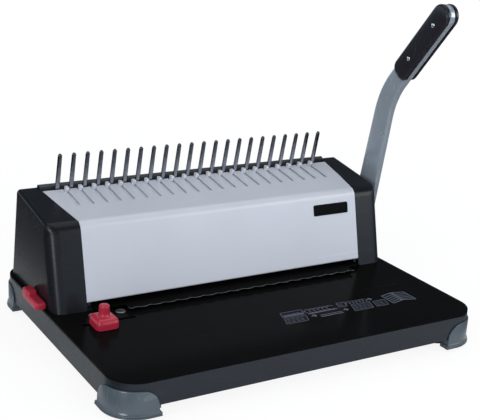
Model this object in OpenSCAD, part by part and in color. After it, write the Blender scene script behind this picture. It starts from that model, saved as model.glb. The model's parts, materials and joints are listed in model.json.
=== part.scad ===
// Comb binding machine: punches a row of rectangular holes and opens plastic combs.
// Built with X across the machine, Y from the operator to the rear and Z up from the desk.
// The base front wall stands at Y = 0; at_origin() then moves all pieces to the row's origin.

/* [Punching] */
// Number of rectangular holes along a sheet
hole_count = 21; // [11:2:23]
// Distance between hole centres
hole_pitch = 14.2875; // [12:0.0125:17.5]
// Width of one punched hole
hole_w = 8; // [6:0.1:9]
// Depth of one punched hole
hole_d = 2.8; // [2.2:0.1:3.4]
// Height of the gap that the sheets go into
throat_gap = 2.2; // [1.8:0.1:3]
// Thickness of the lower die plate
die_t = 4.2; // [3:0.1:5]
// Thickness of the upper guide plate
guide_t = 2; // [1.5:0.1:3]
// How far the guide plate stands out in front of the head
lip_out = 9.7; // [6:0.1:12]
// How far its scalloped tongue stands out in front of the head
tongue_out = 20; // [14:0.1:24]
// How far the punch line lies behind the foot of the head
punch_back = 17.3; // [16:0.1:19]
// From the rear edge of a hole to the paper stop, at its smallest
stop_margin = 3.2; // [2.5:0.1:4]
// How far the paper stop can be moved back
stop_travel = 4; // [2:0.5:5]

/* [Base] */
// Depth of the table in front of the head
table_depth = 150.7; // [135:0.1:185]
// Ledge behind the head
rear_ledge = 18; // [16:0.5:30]
// Ledge beside each end cap
side_ledge = 4; // [3:0.5:8]
// Height of the table above the desk
base_h = 36; // [34:0.5:44]
// Height of the walls' lower edge above the desk
wall_bottom = 12; // [10:0.5:13]
// Thickness of the tray's walls
wall_t = 2.5; // [2:0.1:3.5]
// Thickness of the table plate
table_t = 2; // [1.5:0.1:3]
// Radius of the base's upright corners
corner_r = 28; // [20:1:34]
// Thickness of the bottom plate
bottom_t = 1; // [0.8:0.1:1.5]

/* [Feet] */
// Length of a foot along each wall
foot_len = 42.5; // [36:0.5:44]
// Height of a foot's upper edge above the desk
foot_h = 27.5; // [22:0.5:30]
// How far a foot stands proud of the walls
foot_t = 1.6; // [1:0.1:2.5]
// How far the foot's flange stands proud of the walls
flange_t = 3.2; // [2.5:0.1:4]
// Height of the flange's upper edge above the desk
flange_h = 6.5; // [5:0.5:8]
// Radius of a rubber pad
pad_r = 12; // [9:0.5:14]
// How far a rubber pad stands out of its foot
pad_out = 3; // [1.5:0.1:4]
// Depth of a foot below its wall
foot_band = 8; // [6:0.5:10]

/* [Head] */
// Depth of the head at the table
head_depth = 117.3; // [110:0.1:125]
// From the outer hole's centre to the edge of the front cover
end_margin = 12.9; // [11:0.1:18]
// Width of an end cap
cap_w = 32.2; // [28:0.1:40]
// Wall of an end cap
cap_t = 2.5; // [2:0.1:3.5]
// Radius of an end cap's front outer edge
cap_r = 4; // [3:0.5:6]
// Radius of an end cap's rear outer edge
cap_rear_r = 4.5; // [3:0.5:8]
// Radius of an end cap's corner beside the bend
cap_bend_r = 13; // [10:0.5:16]
// Gap between the table and the lower edge of the front cover
cover_gap = 7.2; // [6:0.1:9]
// Height of the front cover's bend above the table
bend_h = 79.9; // [76:0.1:90]
// How far the bend lies behind the cover's lower edge
bend_run = 18; // [12:0.5:22]
// Depth of the slope behind the bend
slope_run = 71.1; // [68:0.1:76]
// Angle of the slope
slope_a = 8.8; // [6:0.1:11]
// Outer radius of the bend
bend_r = 9; // [5:0.5:10]
// Thickness of the cover sheets
sheet_t = 1.2; // [0.8:0.1:2]
// How much wider the front cover is at the rear edge, each side
flare = 11.2; // [4:0.1:14]
// Height of the head's rear edge above the table
rear_top_h = 95.2; // [93:0.1:100]
// How far the rear wall leans in towards the top
rear_lean = 15; // [10:0.5:20]
// Thickness of the frame plates
frame_t = 3; // [2.5:0.1:4]

/* [Comb opener] */
// Length of a prong above the slope
prong_len = 38; // [30:0.5:42]
// Width of a prong
prong_w = 4.8; // [3.5:0.1:5.5]
// Thickness of the prong comb
prong_t = 3; // [2:0.1:3.2]
// Forward tilt of the prongs
prong_tilt = 12; // [8:0.5:14]
// Height of a hook above the slope
hook_h = 4.4; // [3:0.1:6]
// Width of a hook
hook_w = 3.4; // [2.5:0.1:4.5]
// Radius of the opener cranks, which is also the opener's travel
crank_r = 30; // [26:0.5:31]

/* [Drive] */
// How far the main shaft lies behind the foot of the head
shaft_back = 50.8; // [49:0.1:54]
// Height of the main shaft above the table
shaft_h = 40; // [38:0.5:43]
// Diameter of the main shaft
shaft_d = 12; // [10:0.5:14]
// Module of the pinions and racks
gear_m = 1.25; // [1.25:0.25:1.25]
// Teeth of a pinion
pinion_z = 18; // [17:1:19]
// Travel of the handle in degrees
handle_travel = 60; // [45:1:60]
// Height of the punch bar
bar_h = 22; // [18:0.5:24]
// Depth of the punch bar
bar_d = 10; // [8:0.5:10.5]

/* [Handle] */
// Thickness of the handle bar
lever_t = 8; // [6:0.5:10]
// Height of the handle's bend above the shaft
lever_low = 140; // [120:1:160]
// Forward lean of the lower stretch
lever_lean = 10; // [6:0.5:12]
// Forward lean of the grip
grip_lean = 39.5; // [30:0.5:45]
// From the bend to the centre of the grip's round end
lever_high = 118.3; // [100:0.1:140]
// Radius of the bend
lever_bend_r = 90; // [60:1:95]
// Width of the bar at the shaft
lever_w_low = 30; // [26:0.5:34]
// Width of the bar at the grip
lever_w_high = 23.2; // [18:0.1:26]
// Length of a grip scale
grip_len = 100; // [90:1:110]
// Width of a grip scale
grip_w = 24; // [23:0.5:30]
// Thickness of a grip scale
grip_t = 4.5; // [4:0.5:9]

/* [Controls] */
// Width of the edge guide's block
guide_block_w = 22; // [18:1:32]
// Travel of the edge guide to the left
guide_left = 6; // [2:1:8]
// Travel of the edge guide to the right
guide_right = 24; // [10:1:30]
// Length of the depth knob
knob_len = 39; // [34:1:44]
// Depth of the chip drawer
drawer_len = 146; // [120:1:150]
// Pull of the chip drawer
drawer_pull = 120; // [80:5:120]

/* [Fits] */
// Radial clearance of a running fit
run_fit = 0.05; // [0.02:0.01:0.08]
// Clearance of a sliding fit on each side
slide_fit = 0.1; // [0.08:0.01:0.15]
// Gap between pieces that are assembled side by side
seam = 0.15; // [0.1:0.05:0.3]
// Gap between pieces that move past each other
clear = 0.35; // [0.3:0.05:0.5]

/* [Hidden] */
$fn = 48;
tiny = 0.01;
// Widths, measured from the middle of the machine
row_half = (hole_count - 1) / 2 * hole_pitch;
cover_half = row_half + end_margin;
cap_out = cover_half + cap_w;
base_w = 2 * (cap_out + side_ledge);
frame_out = cover_half - 1.2;
frame_in = frame_out - frame_t;
wide_half = cover_half + flare;
// Base
base_d = table_depth + head_depth + rear_ledge;
table_under = base_h - table_t;
// Throat
punch_y = table_depth + punch_back;
die_z = base_h - die_t;
guide_z = base_h + throat_gap;
guide_top = guide_z + guide_t;
die_front = table_depth - 1;
die_rear = punch_y + 18;
lip_y = table_depth - lip_out;
tongue_y = table_depth - tongue_out;
guide_rear = punch_y + 17;
pin_bottom = guide_z + 0.4;
// Head section: foot, bend, rear edge and rear foot in Y and Z
foot_z = base_h + cover_gap;
bend_y = table_depth + bend_run;
bend_z = base_h + bend_h;
slope_len = slope_run / cos(slope_a);
slope_z = bend_z + slope_run * tan(slope_a);
rear_y = table_depth + head_depth;
rear_top_y = rear_y - rear_lean - 2.5;
rear_top_z = base_h + rear_top_h;
face_lean = atan(bend_run / (bend_h - cover_gap));
// Main shaft
shaft_y = table_depth + shaft_back;
shaft_z = base_h + shaft_h;
shaft_r = shaft_d / 2;
pinion_r = gear_m * pinion_z / 2;
punch_travel = pinion_r * handle_travel * PI / 180;
opener_travel = 2 * crank_r * sin(handle_travel / 2);
// Punch bar and racks
bar_y = punch_y - bar_d / 2;
bar_z = guide_top + punch_travel + 7;
bar_half = frame_in - clear;
tongue_h = bar_h;
tongue_d = bar_d - 2;
rack_y = shaft_y - pinion_r;
rack_root = rack_y - 1.25 * gear_m;
rack_x = frame_in - 9;
rack_w = 8;
pinion_w = 8;
crank_x = frame_in - 23;
crank_t = 5;
// Opener, in the slope's own plane: s runs to the rear along the slope, n points up from it
s_shaft = (shaft_y - bend_y) * cos(slope_a) + (shaft_z - bend_z) * sin(slope_a);
n_shaft = -(shaft_y - bend_y) * sin(slope_a) + (shaft_z - bend_z) * cos(slope_a);
plate_t = 1.5;
plate_n = -sheet_t - 0.6;
hook_s = slope_len - 3.2;
hook_len = 3.4;
plate_front = hook_s - 34;
crank_back = handle_travel / 2;
roller_r = 4;
roller_lost = crank_r * 0.0092 + clear;
bracket_t = 4;
bracket_x = crank_x - crank_t / 2 - clear - bracket_t / 2;
// Handle, from the shaft outwards
lever_x = cap_out + 3.8;
lever_out = lever_x + lever_t;
bend_pt = [-lever_low * tan(lever_lean), lever_low];
bend_t = lever_bend_r * tan((grip_lean - lever_lean) / 2);
low_dir = [-sin(lever_lean), cos(lever_lean)];
high_dir = [-sin(grip_lean), cos(grip_lean)];
lever_tip = bend_pt + lever_high * high_dir;
grip_end = lever_tip;
grip_screw_pts = [grip_end - 12.5 * high_dir, grip_end - 62 * high_dir];
// Edge guide
guide_x = -row_half - 12.2;
guide_front = table_depth - 49.8;
guide_block_d = 24;
guide_block_h = 10.5;
post_r = 4.9;
post_h = 10.9;
slot_y = guide_front + guide_block_d - 4.2;
slot_w = 4.4;
shoe_t = 3;
// Depth control
stop_y = punch_y + hole_d / 2 + stop_margin;
stop_d = 4;
stop_t = throat_gap - 0.6;
link_w = 10;
link_y = stop_y + 6;
knob_y = table_depth + 36.3;
// Chip drawer
drawer_t = 2;
drawer_half = row_half + hole_w / 2 + 2 * clear + drawer_t;
drawer_z = wall_bottom + bottom_t + clear;
drawer_top = die_z - 1.2;
drawer_face_t = 2.8;
// Overall box, used only to place the origin under its centre
box_left = base_w / 2 + 7;
box_right = lever_out + grip_t;
origin_x = (box_right - box_left) / 2;
origin_y = base_d / 2;

// ---------- shared shapes ----------

module at_origin() { translate([-origin_x, -origin_y, 0]) children(); }

// Draws a child outline given in Y and Z, extruded along X from x0 to x1
module along_x(x0, x1) {
    translate([x0, 0, 0])
    rotate([90, 0, 90])
    linear_extrude(x1 - x0)
    children();
}

// Draws its children in the slope's own frame: X across, Y along the slope, Z up from it
module on_slope() {
    translate([0, bend_y, bend_z])
    rotate([slope_a, 0, 0])
    children();
}

// A shaft-like cylinder along X from x0 to x1
module rod_x(x0, x1, r) { translate([x0, 0, 0]) rotate([0, 90, 0]) cylinder(r = r, h = x1 - x0); }

module box(x0, x1, y0, y1, z0, z1) { translate([x0, y0, z0]) cube([x1 - x0, y1 - y0, z1 - z0]); }

// Rectangle with round corners, from true arcs
module round_rect(w, d, r) {
    square([w - 2 * r, d], center = true);
    square([w, d - 2 * r], center = true);
    for (x = [-1, 1], y = [-1, 1])
        translate([x * (w / 2 - r), y * (d / 2 - r)])
        circle(r);
}

// Slab of the base's outline, grown by g, from z0 to z1
module base_slab(g, z0, z1) {
    translate([0, base_d / 2, z0])
    linear_extrude(z1 - z0)
    round_rect(base_w + 2 * g, base_d + 2 * g, corner_r + g);
}

// Slot with round ends along X
module slot_x(x0, x1, r) {
    translate([x0, -r]) square([x1 - x0, 2 * r]);
    translate([x0, 0]) circle(r);
    translate([x1, 0]) circle(r);
}

// Pan head screw pointing down, its seat at Z = 0
module pan_screw(r, l) {
    translate([0, 0, -l]) cylinder(r = r, h = l + tiny);
    difference() {
        cylinder(r1 = 1.9 * r, r2 = 1.5 * r, h = 1.1 * r);
        translate([-r, -0.2 * r, 0.7 * r]) cube([2 * r, 0.4 * r, r]);
        translate([-0.2 * r, -r, 0.7 * r]) cube([0.4 * r, 2 * r, r]);
    }
}

// Countersunk screw pointing down, its head's top at Z = 0
module flat_screw(r, l) {
    difference() {
        union() {
            translate([0, 0, -r]) cylinder(r1 = r, r2 = 2 * r, h = r);
            translate([0, 0, -l]) cylinder(r = r, h = l - r);
        }
        translate([-r, -0.2 * r, -0.4 * r]) cube([2 * r, 0.4 * r, r]);
        translate([-0.2 * r, -r, -0.4 * r]) cube([0.4 * r, 2 * r, r]);
    }
}

module mirrored() {
    children();
    mirror([1, 0, 0]) children();
}

// ---------- base ----------

screw_r = 2;
post_r_in = 7.5;
post_in = corner_r - (corner_r - wall_t - post_r_in + 0.9) / sqrt(2);
foot_screw_xy = [for (x = [-1, 1], y = [post_in, base_d - post_in]) [x * (base_w / 2 - post_in), y]];
tray_floor = wall_bottom + bottom_t + seam;
rib_top = table_under - 9;
runner_x = drawer_half + clear + 1;
cross_y = table_depth - 44;

module base_tray() color([0.2, 0.22, 0.25]) {
    difference() {
        union() {
            difference() {
                base_slab(0, wall_bottom, table_under);
                base_slab(-wall_t, wall_bottom - 1, table_under + 1);
            }
            // Corner posts that the feet are screwed to and the table rests on
            for (p = foot_screw_xy)
                translate([p[0], p[1], tray_floor]) cylinder(r = post_r_in, h = table_under - tray_floor);
            // Long ribs are the drawer's runners, the cross rib stiffens the front
            mirrored()
            box(runner_x - 1, runner_x + 1, wall_t / 2, base_d - wall_t / 2, tray_floor, rib_top);
            box(-base_w / 2 + wall_t / 2, base_w / 2 - wall_t / 2, cross_y - 1, cross_y + 1,
                tray_floor, rib_top);
        }
        drawer_mouth();
        for (p = foot_screw_xy) translate([p[0], p[1], 0]) cylinder(r = screw_r, h = tray_floor + 14);
    }
}

module drawer_mouth() {
    box(-drawer_half - clear, drawer_half + clear, base_d - wall_t - 1, base_d + 1,
        wall_bottom + bottom_t, drawer_top + clear);
}

window_half = frame_out + 4;
rail_screw_x = [-row_half - 12, -row_half + 15];
rail_screw_y = slot_y + 17;
frame_screw_xy = [[frame_out + 8, table_depth + 12], [frame_out + 8, rear_y - 14]];
cap_screw_xy = [[cap_out - 9, table_depth + 14], [cap_out - 9, rear_y - 22]];

module table_top() color([0.09, 0.09, 0.1]) {
    difference() {
        base_slab(0, table_under, base_h);
        box(-window_half, window_half, die_front - seam, die_rear + seam, table_under - 1, base_h + 1);
        translate([0, slot_y, table_under - 1])
        linear_extrude(table_t + 2)
        slot_x(guide_x - guide_left - 9, guide_x + guide_right + 9, slot_w / 2);
        for (x = rail_screw_x)
            translate([x, rail_screw_y, 0]) {
                translate([0, 0, table_under - 1]) cylinder(r = 1.6, h = table_t + 2);
                translate([0, 0, base_h - 1.5]) cylinder(r1 = 1.6, r2 = 3.2, h = 1.52);
            }
        for (p = concat(frame_screw_xy, cap_screw_xy), s = [-1, 1])
            translate([s * p[0], p[1], table_under - 1]) cylinder(r = screw_r, h = table_t + 2);
    }
}

module bottom_plate() color([0.55, 0.57, 0.6]) {
    difference() {
        base_slab(-wall_t - seam, wall_bottom, wall_bottom + bottom_t);
        for (p = foot_screw_xy) translate([p[0], p[1], 0]) cylinder(r = screw_r + 0.2, h = 30);
    }
}

// Side outline of a foot: flange below, arched shoulder above
module foot_side() {
    square([foot_len, flange_h]);
    square([foot_len - 18, foot_h]);
    square([foot_len - 2, foot_h - 16]);
    translate([foot_len - 18, foot_h - 16]) circle(16);
}

// One corner foot, drawn for the front left corner
module foot() color([0.33, 0.37, 0.41]) {
    difference() {
        intersection() {
            union() {
                base_slab(foot_t, pad_out, foot_h);
                base_slab(flange_t, pad_out, flange_h);
            }
            translate([-base_w / 2 - flange_t, base_d, 0])
            rotate([90, 0, 0])
            linear_extrude(base_d + 2 * flange_t + 1)
            foot_side();
            translate([-base_w / 2 - flange_t - 1, -flange_t, 0])
            rotate([90, 0, 90])
            linear_extrude(base_w)
            foot_side();
        }
        base_slab(seam, wall_bottom - seam, base_h);
        // Open middle, so that only the band, the pad's seat and the screw's seat are left
        difference() {
            base_slab(-foot_band, -1, wall_bottom - 3);
            translate([pad_xy[0], pad_xy[1], -2]) cylinder(r = pad_r + 2.5, h = wall_bottom);
            translate([foot_screw_xy[0][0], foot_screw_xy[0][1], -2])
            cylinder(r = 2.2 * screw_r + 3, h = wall_bottom);
        }
        translate([pad_xy[0], pad_xy[1], 0]) cylinder(r = pad_r + seam, h = pad_out + 2);
        translate([foot_screw_xy[0][0], foot_screw_xy[0][1], 0]) {
            cylinder(r = screw_r + 0.2, h = 30);
            cylinder(r = 2.2 * screw_r, h = foot_head_z);
        }
    }
}
pad_xy = [-base_w / 2 + 28, 28];
foot_head_z = pad_out + 2.6;

module foot_front_left() { foot(); }
module foot_front_right() { mirror([1, 0, 0]) foot(); }
module foot_rear_left() { translate([0, base_d, 0]) mirror([0, 1, 0]) foot(); }
module foot_rear_right() { mirror([1, 0, 0]) foot_rear_left(); }

module foot_pads() color([0.1, 0.1, 0.1]) {
    for (x = [-1, 1], y = [pad_xy[1], base_d - pad_xy[1]])
        translate([x * pad_xy[0], y, 0])
        difference() {
            cylinder(r = pad_r, h = pad_out + 2 - seam);
            translate([0, 0, -1]) cylinder(r = pad_r - 5, h = 1.6);
        }
}

module base_screws() color([0.6, 0.6, 0.62]) {
    for (p = foot_screw_xy)
        translate([p[0], p[1], foot_head_z])
        mirror([0, 0, 1])
        pan_screw(screw_r - 0.05, 18);
}

// ---------- frame and throat ----------

// Height of the slope's outer surface at a given Y
function slope_at(y) = bend_z + (y - bend_y) * tan(slope_a);
rear_a = atan((rear_lean - 0.1) / (rear_top_h - 4.5 - seam));
prong_y = bend_y + slope_run + 2.6;
comb_bottom = -30;
frame_top_n = plate_n - plate_t - slide_fit;

// Draws its children in the plane of the prong comb: Z up along the prongs, from their roots
module on_comb() {
    translate([0, prong_y, slope_at(prong_y)])
    rotate([prong_tilt, 0, 0])
    children();
}

// Draws its children in the plane of the rear wall: Z up along it, Y out of it
module on_rear() {
    translate([0, rear_y, base_h])
    rotate([rear_a, 0, 0])
    children();
}

frame_outline = [
    [table_depth + 2, base_h + seam],
    [table_depth + 2, foot_z],
    [bend_y + 1.4 - 5 * tan(face_lean), bend_z + frame_top_n / cos(slope_a) + 0.1 - 5],
    [bend_y + 1.4 + 4, bend_z + frame_top_n / cos(slope_a) + 4 * tan(slope_a)],
    [prong_y - 3.4, slope_at(prong_y - 3.4) + frame_top_n / cos(slope_a)],
    [prong_y - prong_t / 2 - comb_bottom * tan(prong_tilt) - 0.4, slope_at(prong_y) + comb_bottom],
    [prong_y + 12, slope_at(prong_y) + comb_bottom],
    [rear_y - 3, base_h + seam]
];

link_slot = [link_y - link_w / 2 - clear, link_y + link_w / 2 + stop_travel + clear];

// One frame plate, drawn for the right side
module frame_plate() color([0.6, 0.62, 0.65]) {
    difference() {
        union() {
            along_x(frame_in, frame_out) polygon(frame_outline);
            box(frame_in, frame_out, die_front, die_rear, die_z, base_h + 1);
            // Foot flange that is screwed to the table
            box(frame_out - 1, frame_out + 13, table_depth + 6, rear_y - 7,
                base_h + seam, base_h + seam + frame_t);
            // Block that carries the prong comb's end
            on_comb()
            box(frame_in - 9, frame_in + 1, -prong_t / 2 - 9, -prong_t / 2, comb_bottom, comb_bottom + 18);
            // Block that the rear cover is screwed to
            on_rear() box(frame_in - 9, frame_in + 1, -sheet_t - seam - 8, -sheet_t - seam, 10, 50);
        }
        rod_at_shaft(frame_in - 1, frame_out + 1, bush_r);
        box(frame_in - 1, frame_out + 1,
            punch_y - tongue_d / 2 - slide_fit, punch_y + tongue_d / 2 + slide_fit,
            bar_z - punch_travel - 1, bar_z + bar_h + 1);
        box(frame_in - 1, frame_out + 20, link_slot[0], link_slot[1], base_h, guide_z);
        box(frame_out, frame_out + 20, link_slot[0], link_slot[1], base_h, base_h + 2 * frame_t);
        for (y = die_screw_y) translate([0, y, die_screw_z]) rod_x(frame_in - 1, frame_out + 1, 1.05);
        for (p = frame_screw_xy) translate([p[0], p[1], base_h]) cylinder(r = screw_r + 0.1, h = 10);
        for (z = comb_screw_z)
            on_comb() translate([frame_in - 4.5, 0, z]) rotate([90, 0, 0]) cylinder(r = screw_r, h = 9);
        for (z = rear_screw_z)
            on_rear() translate([frame_in - 4.5, 0, z]) rotate([90, 0, 0]) cylinder(r = screw_r, h = 9);
    }
}
bush_r = shaft_r + 3;
die_screw_y = [die_front + 8, die_rear - 8];
die_screw_z = die_z + die_t / 2;
comb_screw_z = [comb_bottom + 5, comb_bottom + 13];
rear_screw_z = [18, 42];

module rod_at_shaft(x0, x1, r) { translate([0, shaft_y, shaft_z]) rod_x(x0, x1, r); }

module frame_plate_right() { frame_plate(); }
module frame_plate_left() { mirror([1, 0, 0]) frame_plate(); }

module frame_screws() color([0.55, 0.55, 0.58]) {
    for (p = frame_screw_xy, s = [-1, 1])
        translate([s * p[0], p[1], base_h + seam + frame_t]) pan_screw(screw_r - 0.05, 8);
}

module die_hole(z0, z1, grow) {
    for (i = [0 : hole_count - 1])
        let (x = -row_half + i * hole_pitch)
        box(x - hole_w / 2 - grow, x + hole_w / 2 + grow,
            punch_y - hole_d / 2 - grow, punch_y + hole_d / 2 + grow, z0, z1);
}

module die_plate() color([0.66, 0.67, 0.7]) {
    difference() {
        box(-frame_in + seam, frame_in - seam, die_front, die_rear, die_z, base_h);
        die_hole(die_z - 1, base_h + 1, slide_fit);
        for (s = [-1, 1], y = die_screw_y)
            translate([s * (frame_in - 6), y, die_screw_z]) rod_x(-6, 6, 1.05);
        for (x = throat_screw_x) translate([x, throat_screw_y, die_z - 1]) cylinder(r = 1.25, h = die_t + 2);
    }
}
spacer_d = guide_rear - stop_y - stop_d - stop_travel - clear;
throat_screw_y = guide_rear - spacer_d / 2;
throat_screw_x = [for (i = [-2 : 2]) i * (row_half - 6) / 2];
spacer_left = frame_in - 9;

module throat_spacers() color([0.6, 0.62, 0.65]) {
    difference() {
        box(-spacer_left, frame_in - seam, guide_rear - spacer_d, guide_rear, base_h, guide_z);
        for (x = throat_screw_x)
            translate([x, throat_screw_y, base_h - 1]) cylinder(r = 1.25, h = throat_gap + 2);
    }
    mirrored() box(frame_in - 2.2, frame_in - seam, die_front + 3, stop_y - 4, base_h, guide_z);
}

module guide_plate() color([0.14, 0.14, 0.15]) {
    difference() {
        union() {
            box(-frame_in + seam, frame_in - seam, lip_y, guide_rear, guide_z, guide_top);
            box(tongue_x[0], tongue_x[1], tongue_y, lip_y + 6, guide_z, guide_top);
        }
        die_hole(guide_z - 1, guide_top + 1, slide_fit);
        // Scalloped front edge, one scallop to each punch
        for (i = [0 : hole_count - 1])
            translate([-row_half + i * hole_pitch, tongue_y - scallop_r + 1.6, guide_z - 1])
            cylinder(r = scallop_r, h = guide_t + 2);
        // Lead-in under the front edges
        lead_in(-frame_out, tongue_x[0], lip_y);
        lead_in(tongue_x[0] - 1, tongue_x[1] + 1, tongue_y);
        lead_in(tongue_x[1], frame_out, lip_y);
        for (x = throat_screw_x)
            translate([x, throat_screw_y, guide_z - 1]) cylinder(r = 1.35, h = guide_t + 2);
    }
}
scallop_r = 5.2;
tongue_x = [-row_half + 1.5 * hole_pitch, row_half - 0.5 * hole_pitch];
module lead_in(x0, x1, y) {
    along_x(x0, x1)
    polygon([[y - 1, guide_z - 1], [y + 5, guide_z - 1], [y + 5, guide_z], [y - 1, guide_z + 1.3]]);
}

module die_screws() color([0.5, 0.5, 0.52]) {
    for (y = die_screw_y) {
        translate([frame_out, y, die_screw_z]) rotate([0, 90, 0]) pan_screw(1, 10);
        translate([-frame_out, y, die_screw_z]) rotate([0, -90, 0]) pan_screw(1, 10);
    }
    for (x = throat_screw_x) translate([x, throat_screw_y, guide_top]) pan_screw(1.2, 7);
}

module shaft_bushes() color([0.72, 0.55, 0.3]) {
    mirrored()
    difference() {
        union() {
            rod_at_shaft(frame_in - 1.6, frame_out + 4, bush_r);
            rod_at_shaft(frame_in - 1.6, frame_in, bush_r + 3);
        }
        rod_at_shaft(frame_in - 3, frame_out + 6, shaft_r + run_fit);
    }
}

// ---------- housing ----------

prong_x = [for (i = [0 : hole_count]) -row_half - hole_pitch / 2 + i * hole_pitch];

module prong_comb() color([0.72, 0.73, 0.75]) {
    on_comb()
    translate([0, prong_t / 2, 0])
    rotate([90, 0, 0])
    linear_extrude(prong_t)
    difference() {
        union() {
            translate([-frame_out, comb_bottom]) square([2 * frame_out, 20]);
            for (x = prong_x) {
                translate([x - prong_w / 2, comb_bottom + 10])
                square([prong_w, prong_len - prong_w / 2 - comb_bottom - 10]);
                translate([x, prong_len - prong_w / 2]) circle(prong_w / 2);
            }
        }
        for (s = [-1, 1], z = comb_screw_z) translate([s * (frame_in - 4.5), z]) circle(screw_r + 0.1);
    }
}

module comb_screws() color([0.5, 0.5, 0.52]) {
    for (s = [-1, 1], z = comb_screw_z)
        on_comb()
        translate([s * (frame_in - 4.5), prong_t / 2, z])
        rotate([-90, 0, 0])
        pan_screw(screw_r - 0.05, 9);
}

// Bent front cover: points of the outer side, then of the inner side
face_n = [cos(face_lean), -sin(face_lean)];
slope_n = [sin(slope_a), -cos(slope_a)];
function bend_centre_for(r) = [bend_y, bend_z] + r * (face_n + slope_n) / (1 + face_n * slope_n);
bend_c = bend_centre_for(bend_r);
function bend_arc(c, r, n = 8) = [
    for (i = [0 : n])
        let (a = 180 - face_lean + (slope_a - 90 + face_lean) * i / n)
        c + r * [cos(a), sin(a)]
];
cover_profile = concat(
    [[table_depth, foot_z]],
    bend_arc(bend_c, bend_r),
    [[bend_y + slope_run, slope_at(bend_y + slope_run)],
     [bend_y + slope_run + sheet_t * sin(slope_a), slope_at(bend_y + slope_run) - sheet_t * cos(slope_a)]],
    [for (i = [8 : -1 : 0]) bend_arc(bend_c, bend_r - sheet_t)[i]],
    [[table_depth + sheet_t / cos(face_lean), foot_z]]
);
slot_half = hook_w / 2 + 0.8;
slot_front = hook_s - opener_travel - hook_len / 2 - 2.6;

module front_cover() color([0.78, 0.8, 0.83]) {
    difference() {
        union() {
            along_x(-cover_half, cover_half) polygon(cover_profile);
            // Hem that stiffens the lower edge
            box(-frame_in + 1, frame_in - 1, table_depth + 0.4, table_depth + 7, foot_z, foot_z + sheet_t);
            mirrored()
            on_slope()
            translate([0, 0, -sheet_t])
            linear_extrude(sheet_t)
            polygon([[cover_half - 1, 5], [cover_half, 5],
                [wide_half, slope_len], [cover_half - 1, slope_len]]);
        }
        on_slope()
        translate([0, 0, -2 * sheet_t])
        linear_extrude(3 * sheet_t)
        for (i = [0 : hole_count - 1])
            translate([-row_half + i * hole_pitch, slot_front + slot_half]) {
                circle(slot_half);
                translate([-slot_half, 0]) square([2 * slot_half, slope_len]);
            }
    }
}

// Rear cover: folded lip behind the prongs, ridge, then the leaning rear wall
ridge = 2.4;
lip_rear_y = prong_y + 2.9;
rear_cover_outer = [
    [lip_rear_y, slope_at(lip_rear_y) - 3],
    [lip_rear_y, slope_at(lip_rear_y) + ridge - 0.8],
    [lip_rear_y + 1, slope_at(lip_rear_y) + ridge],
    [rear_top_y - 1.5, rear_top_z],
    [rear_top_y + 1, rear_top_z - 0.8],
    [rear_top_y + 2.6, rear_top_z - 4.5],
    [rear_y, base_h + seam]
];
rear_cover_inner = [
    [rear_y - 1.01 * sheet_t, base_h + seam],
    [rear_top_y + 2.6 - 1.1 * sheet_t, rear_top_z - 4.7],
    [rear_top_y + 0.2, rear_top_z - 0.8 - sheet_t],
    [rear_top_y - 1.8, rear_top_z - sheet_t],
    [lip_rear_y + 1 + sheet_t / 2, slope_at(lip_rear_y) + ridge - sheet_t],
    [lip_rear_y + sheet_t, slope_at(lip_rear_y) + ridge - 0.8 - sheet_t],
    [lip_rear_y + sheet_t, slope_at(lip_rear_y) - 3]
];

module rear_cover() color([0.12, 0.12, 0.13]) {
    difference() {
        along_x(-wide_half, wide_half) polygon(concat(rear_cover_outer, rear_cover_inner));
        for (s = [-1, 1], z = rear_screw_z)
            on_rear()
            translate([s * (frame_in - 4.5), 2, z])
            rotate([90, 0, 0])
            cylinder(r = screw_r + 0.1, h = 6);
    }
}

module rear_cover_screws() color([0.3, 0.3, 0.32]) {
    for (s = [-1, 1], z = rear_screw_z)
        on_rear()
        translate([s * (frame_in - 4.5), 0.2, z])
        rotate([-90, 0, 0])
        pan_screw(screw_r - 0.05, 9);
}

// Side outline of an end cap, taken below the table so that only its free edges are rounded
cap_drop = 2 * cap_r;
cap_outline = [
    [table_depth - (cover_gap + cap_drop) * tan(face_lean), base_h - cap_drop],
    [rear_y + cap_drop * tan(rear_a), base_h - cap_drop],
    [rear_top_y + 2.3, slope_at(rear_top_y + 2.3)],
    each [for (i = [5 : -1 : 0]) bend_arc(bend_centre_for(cap_bend_r), cap_bend_r, 5)[i]]
];

function unit(v) = v / norm(v);
// Corner i of a counter-clockwise outline, moved inwards by r from both of its edges
function inset_corner(p, i, r) =
    let (n = len(p), u = unit(p[i] - p[(i + n - 1) % n]), v = unit(p[(i + 1) % n] - p[i]),
         nu = [-u[1], u[0]], nv = [-v[1], v[0]])
    p[i] + r * (nu + nv) / (1 + nu * nv);
function inset(p, r) = [for (i = [0 : len(p) - 1]) inset_corner(p, i, r)];

// Block of the cap's outline from x0 to x1, its outer edges rounded by one radius per corner
module cap_block(outline, x0, x1, radii) {
    hull()
    for (i = [0 : len(outline) - 1])
        let (p = inset_corner(outline, i, radii[i]), c = inset_corner(outline, i, 0.02)) {
            along_x(x0, x1 - radii[i]) polygon([outline[i], [c[0], outline[i][1]], [outline[i][0], c[1]]]);
            translate([x1 - radii[i], p[0], p[1]]) sphere(r = radii[i], $fn = 32);
        }
}
cap_radii = [for (i = [0 : len(cap_outline) - 1]) i == 1 || i == 2 ? cap_rear_r : cap_r];

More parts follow.
